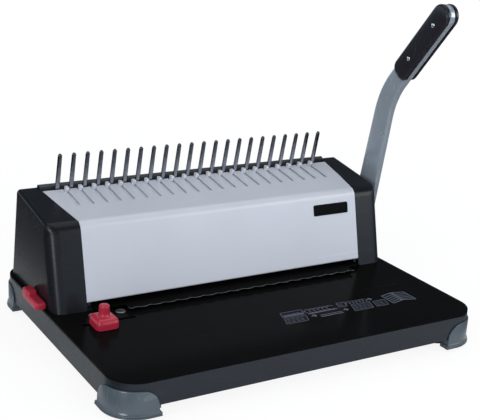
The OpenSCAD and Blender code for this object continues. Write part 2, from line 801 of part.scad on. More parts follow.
// One end cap, drawn for the right side: a shell open towards the middle and the table
module end_cap() color([0.13, 0.13, 0.15]) {
    difference() {
        union() {
            difference() {
                cap_block(cap_outline, cover_half + seam, cap_out, cap_radii);
                cap_block(inset(cap_outline, cap_t), cover_half - 1, cap_out - cap_t,
                    [for (r = cap_radii) max(r - cap_t, 0.5)]);
            }
            for (p = cap_screw_xy) {
                translate([p[0], p[1], base_h + seam]) cylinder(r = 5, h = 14);
                box(p[0], cap_out - cap_t / 2, p[1] - 1, p[1] + 1, base_h + seam, base_h + seam + 14);
            }
        }
        box(0, base_w, 0, base_d + 50, 0, base_h + seam);
        // Room for the front cover's flared edge and for the rear cover
        on_slope()
        translate([0, 0, -cap_t - 2])
        linear_extrude(cap_t + 6)
        polygon([[cover_half - 1, 0], [cover_half + seam, 0], [wide_half + seam, slope_len],
            [wide_half + seam, slope_len + 30], [cover_half - 1, slope_len + 30]]);
        on_rear() box(cover_half - 1, wide_half + seam, -cap_t - 2, 10, -5, 110);
        for (p = cap_screw_xy) translate([p[0], p[1], base_h - 1]) cylinder(r = screw_r, h = 12);
    }
}

module end_cap_right() {
    difference() {
        end_cap();
        rod_at_shaft(cap_out - 6, cap_out + 2, shaft_r + 1.5);
    }
}
module end_cap_left() {
    difference() {
        mirror([1, 0, 0]) end_cap();
        box(-cap_out - 1, -cap_out + 6, link_slot[0], link_slot[1], base_h - 1, guide_z + seam);
    }
}

module cap_screws() color([0.5, 0.5, 0.52]) {
    for (p = cap_screw_xy, s = [-1, 1])
        translate([s * p[0], p[1], table_under]) mirror([0, 0, 1]) pan_screw(screw_r - 0.05, 10);
}

// ---------- drive ----------

// Involute tooth outline of a spur gear with a gap centred on angle 'gap_at'
function involute(rb, t) = rb * [cos(t) + t * PI / 180 * sin(t), sin(t) - t * PI / 180 * cos(t)];
function turn(p, a) = [p[0] * cos(a) - p[1] * sin(a), p[0] * sin(a) + p[1] * cos(a)];
function flank_angle(r, rb) = sqrt(r * r / (rb * rb) - 1) * 180 / PI;
pressure_a = 20;
backlash = 0.3;
flank_steps = 5;
base_r = pinion_r * cos(pressure_a);
tip_r = pinion_r + gear_m * 0.95;
root_r = pinion_r - gear_m * 1.2;
half_tooth = 90 / pinion_z - backlash / 4 / pinion_r * 180 / PI;
pitch_roll = flank_angle(pinion_r, base_r);
pitch_polar = atan2(involute(base_r, pitch_roll)[1], involute(base_r, pitch_roll)[0]);
flank = [for (i = [0 : flank_steps])
    turn(involute(base_r, flank_angle(tip_r, base_r) * i / flank_steps), -pitch_polar - half_tooth)];
function tooth(a) = concat(
    [turn([root_r, 0], a - half_tooth - pitch_polar - 1)],
    [for (p = flank) turn(p, a)],
    [for (i = [flank_steps : -1 : 0]) turn([flank[i][0], -flank[i][1]], a)],
    [turn([root_r, 0], a + half_tooth + pitch_polar + 1)]
);
pinion_outline = [for (k = [0 : pinion_z - 1]) each tooth(180 + (k + 0.5) * 360 / pinion_z)];

module pinion() color([0.58, 0.58, 0.6]) {
    difference() {
        translate([0, shaft_y, shaft_z])
        along_x(rack_x - pinion_w / 2, rack_x + pinion_w / 2)
        polygon(pinion_outline);
        rod_at_shaft(rack_x - pinion_w, rack_x + pinion_w, shaft_r + 0.04);
        drive_pin(rack_x, root_r + 1, pin_r + 0.02);
    }
}
module pinion_right() { pinion(); }
module pinion_left() { mirror([1, 0, 0]) pinion(); }
pin_r = 1.5;

module drive_pin(x, reach, r) { translate([x, shaft_y, shaft_z - reach]) cylinder(r = r, h = 2 * reach); }

// Direction of a crank at rest, in degrees back from upright
crank_a = crank_back - slope_a;
roller_pt = [shaft_y + crank_r * sin(crank_a), shaft_z + crank_r * cos(crank_a)];

module crank() color([0.58, 0.58, 0.6]) {
    difference() {
        union() {
            rod_at_shaft(crank_x - crank_t / 2, crank_x + crank_t / 2, shaft_r + 7);
            translate([0, roller_pt[0], roller_pt[1]])
            rod_x(crank_x - crank_t / 2, crank_x + crank_t / 2, roller_r + 3.4);
            translate([0, shaft_y, shaft_z])
            rotate([-crank_a, 0, 0])
            box(crank_x - crank_t / 2, crank_x + crank_t / 2, -roller_r - 2, roller_r + 2, 0, crank_r);
        }
        rod_at_shaft(crank_x - crank_t, crank_x + crank_t, shaft_r + 0.04);
        translate([0, roller_pt[0], roller_pt[1]])
        rod_x(crank_x - crank_t, crank_x + crank_t, roller_r + 0.02);
        drive_pin(crank_x, shaft_r + 6, pin_r + 0.02);
    }
}
module crank_right() { crank(); }
module crank_left() { mirror([1, 0, 0]) crank(); }

module crank_rollers() color([0.7, 0.7, 0.72]) {
    mirrored()
    translate([0, roller_pt[0], roller_pt[1]])
    rod_x(bracket_x - bracket_t / 2 - 1, crank_x + crank_t / 2, roller_r);
}

shaft_left = -frame_out - 4 - 4;
clip_x = -frame_out - 4 - 1.6;

module main_shaft() color([0.62, 0.62, 0.64]) {
    difference() {
        rod_at_shaft(shaft_left, lever_out, shaft_r);
        difference() {
            rod_at_shaft(clip_x, clip_x + 1.3, shaft_r + 1);
            rod_at_shaft(clip_x - 1, clip_x + 3, shaft_r - 1);
        }
        for (x = [-rack_x, rack_x]) drive_pin(x, shaft_r + 1, pin_r + 0.02);
        for (x = [-crank_x, crank_x]) drive_pin(x, shaft_r + 1, pin_r + 0.02);
        rod_at_shaft(lever_out - 14, lever_out + 1, 3);
    }
}

module shaft_pins() color([0.4, 0.4, 0.42]) {
    for (x = [-rack_x, rack_x]) drive_pin(x, root_r - 0.6, pin_r);
    for (x = [-crank_x, crank_x]) drive_pin(x, shaft_r + 5.5, pin_r);
}

module shaft_clip() color([0.3, 0.3, 0.32]) {
    difference() {
        rod_at_shaft(clip_x + 0.1, clip_x + 1.2, shaft_r + 2.5);
        rod_at_shaft(clip_x - 1, clip_x + 3, shaft_r - 0.9);
        box(clip_x - 1, clip_x + 3, shaft_y - 4, shaft_y + 4, shaft_z - shaft_r - 4, shaft_z);
    }
}

// ---------- handle ----------

low_end = bend_pt - bend_t * low_dir;
bend_centre = low_end + lever_bend_r * [-cos(lever_lean), -sin(lever_lean)];
lever_steps = 10;
w_mid = (lever_w_low + 2 * lever_w_high) / 3;
// Stations along the bar: centre point, direction in degrees and width
stations = concat(
    [[[0, 0], lever_lean, lever_w_low]],
    [for (i = [0 : lever_steps])
        let (a = lever_lean + (grip_lean - lever_lean) * i / lever_steps)
        [bend_centre + lever_bend_r * [cos(a), sin(a)], a, w_mid + (lever_w_high - w_mid) * i / lever_steps]],
    [[lever_tip, grip_lean, lever_w_high]]
);
function side_point(s, sgn) = s[0] + sgn * s[2] / 2 * [cos(s[1]), sin(s[1])];
lever_outline = concat(
    [for (s = stations) side_point(s, 1)],
    [for (i = [len(stations) - 1 : -1 : 0]) side_point(stations[i], -1)]
);

// Draws an outline given in Y and Z from the shaft's centre
module at_shaft(x0, x1) { translate([0, shaft_y, shaft_z]) along_x(x0, x1) children(); }

module handle_bar() color([0.6, 0.63, 0.67]) {
    difference() {
        at_shaft(lever_x, lever_out)
        union() {
            polygon(lever_outline);
            circle(lever_w_low / 2);
            translate(lever_tip) circle(lever_w_high / 2);
        }
        rod_at_shaft(lever_x - 1, lever_out + 1, shaft_r + 0.04);
        for (p = grip_screw_pts)
            translate([0, shaft_y + p[0], shaft_z + p[1]]) rod_x(lever_x - 1, lever_out + 1, 1.7);
    }
}

module handle_bolt() color([0.55, 0.55, 0.58]) {
    rod_at_shaft(lever_out - 12, lever_out + 1, 2.95);
    difference() {
        rod_at_shaft(lever_out, lever_out + 1.2, shaft_r + 4);
        rod_at_shaft(lever_out - 1, lever_out + 3, 2.9);
    }
    translate([lever_out + 1.2, shaft_y, shaft_z]) rotate([0, 90, 0]) cylinder(r = 5.8, h = 3.2, $fn = 6);
}

// Outline of a grip scale, reduced by g: full round at the tip, small corners at the lower end
module grip_flat(g) {
    translate(grip_end) circle(grip_w / 2 - g, $fn = 32);
    translate(grip_end)
    rotate(grip_lean)
    for (s = [-1, 1]) translate([s * (grip_w / 2 - 6), grip_w / 2 - grip_len + 6]) circle(6 - g, $fn = 32);
}

// One scale, flat side at x = 0, its free edges rounded
module grip_scale() {
    edge = 2.6;
    difference() {
        hull()
        for (i = [0 : 4])
            let (a = i * 22.5, top = grip_t - edge + edge * sin(a))
            at_shaft(i == 0 ? 0 : top - 0.2, top + tiny)
            grip_flat(edge * (1 - cos(a)));
        for (p = grip_screw_pts)
            translate([0, shaft_y + p[0], shaft_z + p[1]]) {
                rod_x(-1, grip_t + 1, 1.75);
                rod_x(grip_t - 1.4, grip_t + 1, 2.9);
            }
    }
}

module grip_outer() color([0.08, 0.08, 0.09]) { translate([lever_out, 0, 0]) grip_scale(); }
module grip_inner() color([0.08, 0.08, 0.09]) {
    translate([lever_x, 0, 0])
    mirror([1, 0, 0])
    grip_scale();
}

// Each screw runs from the inner scale into a barrel nut in the outer one
module grip_screws() color([0.75, 0.75, 0.77]) {
    for (p = grip_screw_pts)
        translate([0, shaft_y + p[0], shaft_z + p[1]])
        difference() {
            union() {
                rod_x(lever_x - grip_t + 1.4, lever_out + grip_t - 1.4, 1.68);
                rod_x(lever_x - grip_t + 0.2, lever_x - grip_t + 1.4, 2.7);
                rod_x(lever_out + grip_t - 1.4, lever_out + grip_t - 0.2, 2.7);
            }
            box(lever_x - grip_t - 1, lever_x - grip_t + 0.7, -0.4, 0.4, -5, 5);
            box(lever_out + grip_t - 0.7, lever_out + grip_t + 1, -0.4, 0.4, -5, 5);
        }
}

// ---------- punch ----------

module punch_bar() color([0.55, 0.57, 0.6]) {
    difference() {
        union() {
            box(-bar_half, bar_half, bar_y, bar_y + bar_d, bar_z, bar_z + bar_h);
            box(-frame_out, frame_out, punch_y - tongue_d / 2, punch_y + tongue_d / 2,
                bar_z, bar_z + tongue_h);
        }
        for (s = [-1, 1], z = rack_screw_z)
            translate([s * rack_x, bar_y, z]) rotate([-90, 0, 0]) {
                translate([0, 0, -1]) cylinder(r = screw_r, h = bar_d + 2);
                translate([0, 0, -tiny]) cylinder(r1 = 2 * screw_r + tiny, r2 = screw_r, h = screw_r);
            }
    }
}
rack_bottom = shaft_z - 2.6 * PI * gear_m;
rack_screw_z = [rack_bottom + 3, bar_z + bar_h - 3.5];

module punch_pins() color([0.7, 0.71, 0.73]) {
    for (i = [0 : hole_count - 1])
        let (x = -row_half + i * hole_pitch)
        box(x - hole_w / 2, x + hole_w / 2, punch_y - hole_d / 2, punch_y + hole_d / 2, pin_bottom, bar_z);
}

rack_pitch = PI * gear_m;
rack_half = rack_pitch / 4 - backlash / 4;
function rack_tooth(z) =
    let (t = tan(pressure_a))
    [[rack_root, z - rack_half - (rack_y - rack_root) * t],
     [rack_y + 0.95 * gear_m, z - rack_half + 0.95 * gear_m * t],
     [rack_y + 0.95 * gear_m, z + rack_half - 0.95 * gear_m * t],
     [rack_root, z + rack_half + (rack_y - rack_root) * t]];
rack_teeth = [-2 : 5];
rack_top = shaft_z + 5.6 * rack_pitch;

module rack() color([0.5, 0.51, 0.53]) {
    difference() {
        along_x(rack_x - rack_w / 2, rack_x + rack_w / 2)
        polygon(concat(
            [[bar_y + bar_d, rack_bottom], [rack_root, rack_bottom]],
            [for (k = rack_teeth) each rack_tooth(shaft_z + k * rack_pitch)],
            [[rack_root, rack_top], [bar_y + bar_d, rack_top]]
        ));
        for (z = rack_screw_z)
            translate([rack_x, bar_y + bar_d - 1, z]) rotate([-90, 0, 0]) cylinder(r = screw_r, h = 11);
    }
}
module rack_right() { rack(); }
module rack_left() { mirror([1, 0, 0]) rack(); }

module rack_screws() color([0.4, 0.4, 0.42]) {
    for (s = [-1, 1], z = rack_screw_z)
        translate([s * rack_x, bar_y, z]) rotate([90, 0, 0]) flat_screw(screw_r - 0.05, 18);
}

// ---------- comb opener ----------

hook_profile = [
    [hook_s + hook_len / 2, plate_n - plate_t], [hook_s + hook_len / 2, hook_h],
    [hook_s - hook_len / 2 - 1.6, hook_h], [hook_s - hook_len / 2 - 1.8, hook_h - 1.5],
    [hook_s - hook_len / 2, hook_h - 1.9], [hook_s - hook_len / 2, plate_n - plate_t]
];

module opener_plate() color([0.74, 0.76, 0.79]) {
    on_slope() {
        box(-frame_out, frame_out, plate_front, hook_s + hook_len / 2, plate_n - plate_t, plate_n);
        for (i = [0 : hole_count - 1])
            along_x(-row_half + i * hole_pitch - hook_w / 2, -row_half + i * hole_pitch + hook_w / 2)
            polygon(hook_profile);
    }
}

roller_s = s_shaft + crank_r * sin(crank_back);
roller_n = n_shaft + crank_r * cos(crank_back);
roller_top_n = n_shaft + crank_r;
bracket_half = roller_r + roller_lost + 3.5;

module opener_brackets() color([0.6, 0.61, 0.64]) {
    mirrored()
    on_slope()
    difference() {
        box(bracket_x - bracket_t / 2, bracket_x + bracket_t / 2,
            roller_s - bracket_half, roller_s + bracket_half,
            roller_n - roller_r - 4.5, plate_n - plate_t);
        // Upright slot with round ends for the crank's roller
        translate([0, roller_s, roller_n - 0.6]) rod_x(bracket_x - 5, bracket_x + 5, roller_r + roller_lost);
        translate([0, roller_s, roller_top_n + 0.6])
        rod_x(bracket_x - 5, bracket_x + 5, roller_r + roller_lost);
        box(bracket_x - 5, bracket_x + 5,
            roller_s - roller_r - roller_lost, roller_s + roller_r + roller_lost,
            roller_n - 0.6, roller_top_n + 0.6);
    }
}

// ---------- controls ----------

shoe_w = 24;
shoe_d = 12;
rail_x0 = guide_x - guide_left - 16;
rail_x1 = guide_x + guide_right + 16;
shoe_top = table_under - clear;

module edge_guide() color([0.8, 0.1, 0.14]) {
    difference() {
        union() {
            translate([guide_x, guide_front + guide_block_d / 2, base_h + clear])
            rounded_block(guide_block_w, guide_block_d, guide_block_h - clear, 5);
            translate([guide_x, guide_front + guide_block_d / 2, base_h + guide_block_h - 2])
            rotate_extrude()
            polygon([[0, 0], [post_r + 2, 0], [post_r + 0.3, 2.8], [post_r, 4.5], [post_r, post_h],
                [post_r - 1.2, post_h + 1.5], [0, post_h + 1.5]]);
            box(guide_x - 7, guide_x + 7, slot_y - slot_w / 2 + clear, slot_y + slot_w / 2 - clear,
                shoe_top, base_h + 1);
        }
        translate([guide_x, slot_y, shoe_top - 1]) cylinder(r = 1, h = 9);
    }
}

// Block with rounded upper edges, its lower face flat
module rounded_block(w, d, h, r) {
    hull() {
        for (x = [-1, 1], y = [-1, 1])
            translate([x * (w / 2 - r), y * (d / 2 - r), 0]) {
                cylinder(r = r, h = 1, $fn = 32);
                translate([0, 0, h - r]) sphere(r = r, $fn = 32);
            }
    }
}

module guide_shoe() color([0.2, 0.2, 0.22]) {
    difference() {
        box(guide_x - shoe_w / 2, guide_x + shoe_w / 2, slot_y - shoe_d / 2, slot_y + shoe_d / 2,
            shoe_top - shoe_t, shoe_top);
        translate([guide_x, slot_y, shoe_top - shoe_t - 1]) cylinder(r = 1.1, h = shoe_t + 2);
    }
    translate([guide_x, slot_y, shoe_top - shoe_t]) mirror([0, 0, 1]) pan_screw(0.98, 8);
}

module guide_rail() color([0.5, 0.52, 0.55]) {
    difference() {
        union() {
            box(rail_x0, rail_x1, slot_y - shoe_d / 2 - clear - 1.5, slot_y + shoe_d / 2 + clear + 1.5,
                table_under - shoe_t - 4.5, table_under);
            box(rail_x0, rail_x1, slot_y + shoe_d / 2, rail_screw_y + 5, table_under - 2, table_under);
        }
        box(rail_x0 - 1, rail_x1 + 1, slot_y - shoe_d / 2 - clear, slot_y + shoe_d / 2 + clear,
            table_under - shoe_t - 3, table_under + 1);
        for (x = rail_screw_x) translate([x, rail_screw_y, table_under - 3]) cylinder(r = 1.5, h = 4);
    }
}

module rail_screws() color([0.75, 0.76, 0.78]) {
    for (x = rail_screw_x) translate([x, rail_screw_y, base_h]) flat_screw(1.48, 5);
}

stop_z = base_h + (throat_gap - stop_t) / 2;

module paper_stop() color([0.6, 0.62, 0.65]) {
    box(-frame_in + 2.6, frame_in - 2.6, stop_y, stop_y + stop_d, stop_z, stop_z + stop_t);
    box(-cap_out - clear - 3, -frame_in + 8, link_y - link_w / 2, link_y + link_w / 2,
        stop_z, stop_z + stop_t);
}

knob_h = 6.3;
module depth_knob() color([0.8, 0.1, 0.14]) {
    difference() {
        union() {
            translate([-(cap_out + clear + base_w / 2 + 7) / 2, knob_y, base_h + clear])
            rounded_block(base_w / 2 + 7 - cap_out - clear, knob_len, knob_h, 2.4);
            // Thumb ridge on the rear third
            translate([-(cap_out + clear + base_w / 2 + 7) / 2, knob_y + knob_len / 2 - 7.5, base_h + clear])
            rounded_block(base_w / 2 + 7 - cap_out - clear, 15, knob_h + 3.4, 2.4);
        }
        // Pocket that the stop's link is pressed into
        box(-cap_out - clear - 3, -cap_out, link_y - link_w / 2, link_y + link_w / 2,
            stop_z - 1, stop_z + stop_t);
    }
}

module chip_drawer() color([0.15, 0.15, 0.17]) {
    difference() {
        union() {
            box(-drawer_half, drawer_half, base_d - drawer_len, base_d + clear, drawer_z, drawer_top);
            box(-drawer_half - 0.6, drawer_half + 0.6, base_d + clear, base_d + clear + drawer_face_t,
                wall_bottom + 0.4, drawer_top + 1.2);
        }
        box(-drawer_half + drawer_t, drawer_half - drawer_t, base_d - drawer_len + drawer_t, base_d - 0.8,
            drawer_z + drawer_t, drawer_top + 2);
        // Finger notch in the face's lower edge
        translate([0, base_d + 5, wall_bottom - 2]) rotate([90, 0, 0]) cylinder(r = 12, h = 4.8);
    }
}

// ---------- pieces ----------

at_origin() base_tray();
at_origin() table_top();
at_origin() bottom_plate();
at_origin() foot_front_left();
at_origin() foot_front_right();
at_origin() foot_rear_left();
at_origin() foot_rear_right();
at_origin() foot_pads();
at_origin() base_screws();
at_origin() frame_plate_left();
at_origin() frame_plate_right();
at_origin() frame_screws();
at_origin() die_plate();
at_origin() throat_spacers();
at_origin() guide_plate();
at_origin() die_screws();
at_origin() shaft_bushes();
at_origin() prong_comb();
at_origin() comb_screws();
at_origin() front_cover();
at_origin() rear_cover();
at_origin() rear_cover_screws();
at_origin() end_cap_left();
at_origin() end_cap_right();
at_origin() cap_screws();
at_origin() guide_rail();
at_origin() rail_screws();
at_origin() main_shaft();
at_origin() pinion_left();
at_origin() pinion_right();
at_origin() crank_left();
at_origin() crank_right();
at_origin() crank_rollers();
at_origin() shaft_pins();
at_origin() shaft_clip();
at_origin() handle_bar();
at_origin() handle_bolt();
at_origin() grip_inner();
at_origin() grip_outer();
at_origin() grip_screws();
at_origin() punch_bar();
at_origin() punch_pins();
at_origin() rack_left();
at_origin() rack_right();
at_origin() rack_screws();
at_origin() opener_plate();
at_origin() opener_brackets();
at_origin() edge_guide();
at_origin() guide_shoe();
at_origin() depth_knob();
at_origin() paper_stop();
at_origin() chip_drawer();
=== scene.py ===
"""Comb binding machine: steel table, silver punching head, upright comb prongs and a cranked handle.

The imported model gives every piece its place; the sections below follow the machine as it is put
together and give each piece its finished shape and surface. Sizes are in metres in the scene, and
in millimetres from the middle of the table's front edge wherever a piece is drawn.
"""

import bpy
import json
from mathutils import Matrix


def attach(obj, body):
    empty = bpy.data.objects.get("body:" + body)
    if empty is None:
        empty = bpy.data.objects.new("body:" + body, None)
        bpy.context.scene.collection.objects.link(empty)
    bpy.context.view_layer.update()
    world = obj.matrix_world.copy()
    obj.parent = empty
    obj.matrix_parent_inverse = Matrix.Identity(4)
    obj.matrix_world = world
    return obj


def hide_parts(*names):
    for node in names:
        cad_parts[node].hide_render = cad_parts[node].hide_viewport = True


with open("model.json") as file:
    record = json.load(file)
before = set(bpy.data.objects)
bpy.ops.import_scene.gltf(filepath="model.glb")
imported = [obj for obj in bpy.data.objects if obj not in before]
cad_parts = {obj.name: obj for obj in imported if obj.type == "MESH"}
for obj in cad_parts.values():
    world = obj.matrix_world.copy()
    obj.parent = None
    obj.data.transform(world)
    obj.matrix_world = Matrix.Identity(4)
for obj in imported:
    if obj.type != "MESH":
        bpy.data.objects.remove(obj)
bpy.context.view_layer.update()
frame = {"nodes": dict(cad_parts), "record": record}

import json
import math

import bmesh
import bpy
from mathutils import Matrix, Vector


# ---------- studio ----------
# A pale floor that runs into a white room, four soft boxes and a long lens from the front left.
# To mirrored rays the room is dark above a low height, and the floor beyond the machine's ends is
# dark too, which keeps the glossy black pieces black.

MM = 0.001
scene = bpy.context.scene


class Value:
    """A shader socket that can be used in sums."""

    def __init__(self, tree, socket):
        self.tree = tree
        self.socket = socket

    def maths(self, operation, left, right):
        node = self.tree.nodes.new("ShaderNodeMath")
        node.operation = operation
        for socket, value in zip(node.inputs, (left, right)):
            if isinstance(value, Value):
                self.tree.links.new(value.socket, socket)
            else:
                socket.default_value = value
        return Value(self.tree, node.outputs[0])

    def also(self, name):
        """Another output of the node that this one comes from."""
        return Value(self.tree, self.socket.node.outputs[name])

    def __add__(self, other):
        return self.maths("ADD", self, other)

    def __radd__(self, other):
        return self.maths("ADD", other, self)

    def __sub__(self, other):
        return self.maths("SUBTRACT", self, other)

    def __rsub__(self, other):
        return self.maths("SUBTRACT", other, self)

    def __mul__(self, other):
        return self.maths("MULTIPLY", self, other)

    def __rmul__(self, other):
        return self.maths("MULTIPLY", other, self)


class Graph:
    """The nodes of one material or world."""

    def __init__(self, owner):
        owner.use_nodes = True
        self.tree = owner.node_tree

    def node(self, kind, settings=None, values=None, out=0):
        """Adds a node. Its settings come first, then the values or links of its sockets."""
        node = self.tree.nodes.new("ShaderNode" + kind)
        for key, value in (settings or {}).items():
            setattr(node, key, value)
        for key, value in (values or {}).items():
            self.feed(node.inputs[key], value)
        return Value(self.tree, node.outputs[out]) if len(node.outputs) else node

    def feed(self, socket, value):
        if isinstance(value, Value):
            self.tree.links.new(value.socket, socket)
        elif socket.type == "RGBA" and len(value) == 3:
            socket.default_value = (*value, 1)
        else:
            socket.default_value = value

    def between(self, low, high, value, start=0.0, end=1.0):
        """value, spread so that low becomes start and high becomes end."""
        return self.node("MapRange", {"clamp": True}, {"Value": value, "From Min": low, "From Max": high,
                                                       "To Min": start, "To Max": end})

    def mix(self, mask, first, second):
        """Colour first where mask is 0 and second where it is 1."""
        return self.node("Mix", {"data_type": "RGBA"}, {0: mask, 6: first, 7: second}, out=2)


def srgb(red, green, blue):
    """A colour read in display values from 0 to 255, as the shader wants it."""
    return tuple(((c / 255 + 0.055) / 1.055) ** 2.4 if c > 10 else c / 3294 for c in (red, green, blue))


def new_object(name, mesh):
    piece = bpy.data.objects.new(name, mesh)
    scene.collection.objects.link(piece)
    return piece


LENS, FILM_WIDTH, FARTHEST = 77.885, 36, 60
YAW, PITCH_DOWN, ROLL = (math.radians(a) for a in (31.414, -17.676, 3.277))
CAMERA_AT = Vector((-504.118, -819.619, 424.506))

camera = bpy.data.objects.new("camera", bpy.data.cameras.new("camera"))
scene.collection.objects.link(camera)
camera.data.lens = LENS
camera.data.sensor_width = FILM_WIDTH
camera.data.clip_end = FARTHEST
ahead = Vector((math.sin(YAW) * math.cos(PITCH_DOWN), math.cos(YAW) * math.cos(PITCH_DOWN),
                math.sin(PITCH_DOWN)))
level = Vector((math.cos(YAW), -math.sin(YAW), 0))
above = level.cross(ahead)
across = level * math.cos(ROLL) + above * math.sin(ROLL)
upward = above * math.cos(ROLL) - level * math.sin(ROLL)
stand = Matrix((across, upward, -ahead)).transposed().to_4x4()
stand.translation = CAMERA_AT * MM
camera.matrix_world = stand
scene.camera = camera
scene.view_settings.view_transform = "Standard"


LAMPS_AIM = Vector((0, 0, 0.06))


def soft_box(name, at, size, power, tint=(1.0, 1.0, 1.0)):
    """A rectangular lamp, in metres and watts, turned towards the machine."""
    light = bpy.data.objects.new(name, bpy.data.lights.new(name, "AREA"))
    light.data.shape = "RECTANGLE"
    light.data.size, light.data.size_y = size
    light.data.energy = power
    light.data.color = tint
    light.location = at
    light.rotation_mode = "QUATERNION"
    light.rotation_quaternion = (LAMPS_AIM - Vector(at)).to_track_quat("-Z", "Y")
    scene.collection.objects.link(light)


soft_box("key", (-1.5, -0.7, 1.5), (1.2, 1.2), 9, (1.0, 0.99, 0.97))
soft_box("front", (1.3, -1.5, 0.85), (1.3, 1.0), 18)
soft_box("top", (0.3, 0.4, 2.2), (2.2, 1.8), 13.5)
soft_box("low", (-1.35, -0.85, 0.3), (0.4, 0.6), 6)

# Strength of the room to mirrored rays below and above a band of heights, and to diffuse rays; the
# camera sees it plain white
LOW_WALL, HIGH_WALL, ROOM_FILL = 1.5, 0.1, 0.45
BAND_FROM, BAND_TO = 0.13, 0.27
WHITE, WALL_TINT, FILL_TINT = (1, 1, 1), (0.66, 0.84, 1.0), (0.88, 0.94, 1.0)

world = bpy.data.worlds.new("room")
scene.world = world
room = Graph(world)
room.tree.nodes.clear()
ray = room.node("LightPath")
seen = ray.also("Is Camera Ray")
mirrored = seen.maths("MAXIMUM", ray.also("Is Glossy Ray"), ray.also("Is Transmission Ray"))
height = room.node("SeparateXYZ", {}, {0: room.node("TexCoord", out="Generated")}, out="Z")
wall_light = room.between(BAND_FROM, BAND_TO, height, LOW_WALL, HIGH_WALL)
strength = seen + (1 - seen) * (mirrored * wall_light + (1 - mirrored) * ROOM_FILL)
tint = room.mix(seen, room.mix(mirrored, FILL_TINT, WALL_TINT), WHITE)
light = room.node("Background", {}, {"Color": tint, "Strength": strength})
room.feed(room.tree.nodes.new("ShaderNodeOutputWorld").inputs["Surface"], light)

# The floor glows to the camera, more so far out; to mirrored rays it darkens beside the machine
FLOOR_HALF, FLOOR_GLOW = 9, 1.03
GLOW_NEAR, GLOW_FAR, GLOW_SHARE = 0.35, 1.6, 0.86
DARK_FROM, DARK_TO, DARK_SHARE = 0.225, 0.255, 0.93

floor_mesh = bpy.data.meshes.new("floor")
floor_corners = [(x * FLOOR_HALF, y * FLOOR_HALF, 0) for x, y in ((-1, -1), (1, -1), (1, 1), (-1, 1))]
floor_mesh.from_pydata(floor_corners, [], [(0, 1, 2, 3)])
floor_paint = bpy.data.materials.new("floor_paint")
paint = Graph(floor_paint)
plain = paint.tree.nodes["Principled BSDF"]
plain.inputs["Base Color"].default_value = (0.9, 0.9, 0.9, 1)
plain.inputs["Roughness"].default_value = 0.9
glow = paint.node("Emission", {}, {"Color": WHITE, "Strength": FLOOR_GLOW})
unlit = paint.node("Emission", {}, {"Color": (0, 0, 0)})
place = paint.node("TexCoord", out="Object")
away = paint.node("VectorMath", {"operation": "LENGTH"}, {0: place}, out="Value")
farther = paint.between(GLOW_NEAR, GLOW_FAR, away, GLOW_SHARE, 1.0)
glow_share = paint.node("LightPath", out="Is Camera Ray") * farther
surface = paint.node("MixShader", {}, {0: glow_share, 1: Value(paint.tree, plain.outputs[0]), 2: glow})
sideways = paint.node("SeparateXYZ", {}, {0: place}, out="X")
beside = paint.node("Math", {"operation": "ABSOLUTE"}, {0: sideways})
wider = paint.between(DARK_FROM, DARK_TO, beside, 0, DARK_SHARE)
dark_share = paint.node("LightPath", out="Is Glossy Ray") * wider
surface = paint.node("MixShader", {}, {0: dark_share, 1: surface, 2: unlit})
paint.feed(paint.tree.nodes["Material Output"].inputs["Surface"], surface)
floor_mesh.materials.append(floor_paint)
floor = new_object("floor", floor_mesh)


# ---------- base ----------
# The tray is moulded in slate grey plastic with a fine grain. The table is a steel plate with
# black enamel, rolled over at its edge, and a zinc-plated sheet with pressed ribs closes the bottom.

class Finish(Graph):
    """A surface: one Principled shader and the nodes that vary it over a piece."""

    def __init__(self, name, **constants):
        self.material = bpy.data.materials.new(name)
        super().__init__(self.material)
        self.shader = self.tree.nodes["Principled BSDF"]
        self.at = self.node("TexCoord", out="Object")
        for socket, value in constants.items():
            self.set(socket.replace("_", " ").title().replace("Ior", "IOR"), value)

    def set(self, socket, value):
        self.feed(self.shader.inputs[socket], value)

    def stretched(self, x, y, z):
        """Object coordinates scaled by x, y and z."""
        return self.node("Mapping", {}, {"Vector": self.at, "Scale": (x, y, z)})

    def noise(self, scale, detail=3.0, rough=0.55, at=None):
        return self.node("TexNoise", {}, {"Vector": at or self.at, "Scale": scale, "Detail": detail,
                                          "Roughness": rough})

    def scratches(self, amount):
        """A mask of a few short fine lines in three directions."""
        total = None
        for turn, stretch in ((0.5, 90), (-0.9, 70), (1.9, 110)):
            at = self.node("Mapping", {}, {"Vector": self.at, "Rotation": (0.3, 0.2, turn),
                                           "Scale": (6, stretch * 6, 60)})
            line = self.between(1 - amount, 1 - amount + 0.03, self.noise(1, 1, 0.4, at))
            total = line if total is None else total.maths("MAXIMUM", total, line)
        return total

    def bump(self, height, depth):
        self.set("Normal", self.node("Bump", {}, {"Height": height, "Strength": 1.0, "Distance": depth}))


def toned(colour, factor, lift=0.0):
    """A lighter or darker tone of a colour."""
    return tuple(c * factor + lift for c in colour)


# How fine the surfaces are: noise cells to a metre of plastic's grain and of paint's orange peel, and
# the depth of steel's drawn lines in metres
GRAIN_CELLS, PEEL_CELLS, BRUSH_DEPTH = 1400, 650, 0.000006


def moulded(name, colour, roughness, specular, grain=0.000012):
    """Moulded plastic: a fine grain, faint flow marks and a few rubbed places."""
    finish = Finish(name, specular_ior_level=specular)
    flow = finish.between(0.35, 0.65, finish.noise(14, 4))
    rubbed = finish.scratches(0.27)
    body = finish.mix(flow, colour, toned(colour, 1.14))
    finish.set("Base Color", finish.mix(rubbed * 0.35, body, toned(colour, 1.9, 0.004)))
    finish.set("Roughness", roughness + 0.1 * (finish.noise(55, 3) - 0.5) + rubbed * 0.1)
    finish.bump(finish.noise(GRAIN_CELLS, 2), grain)
    return finish


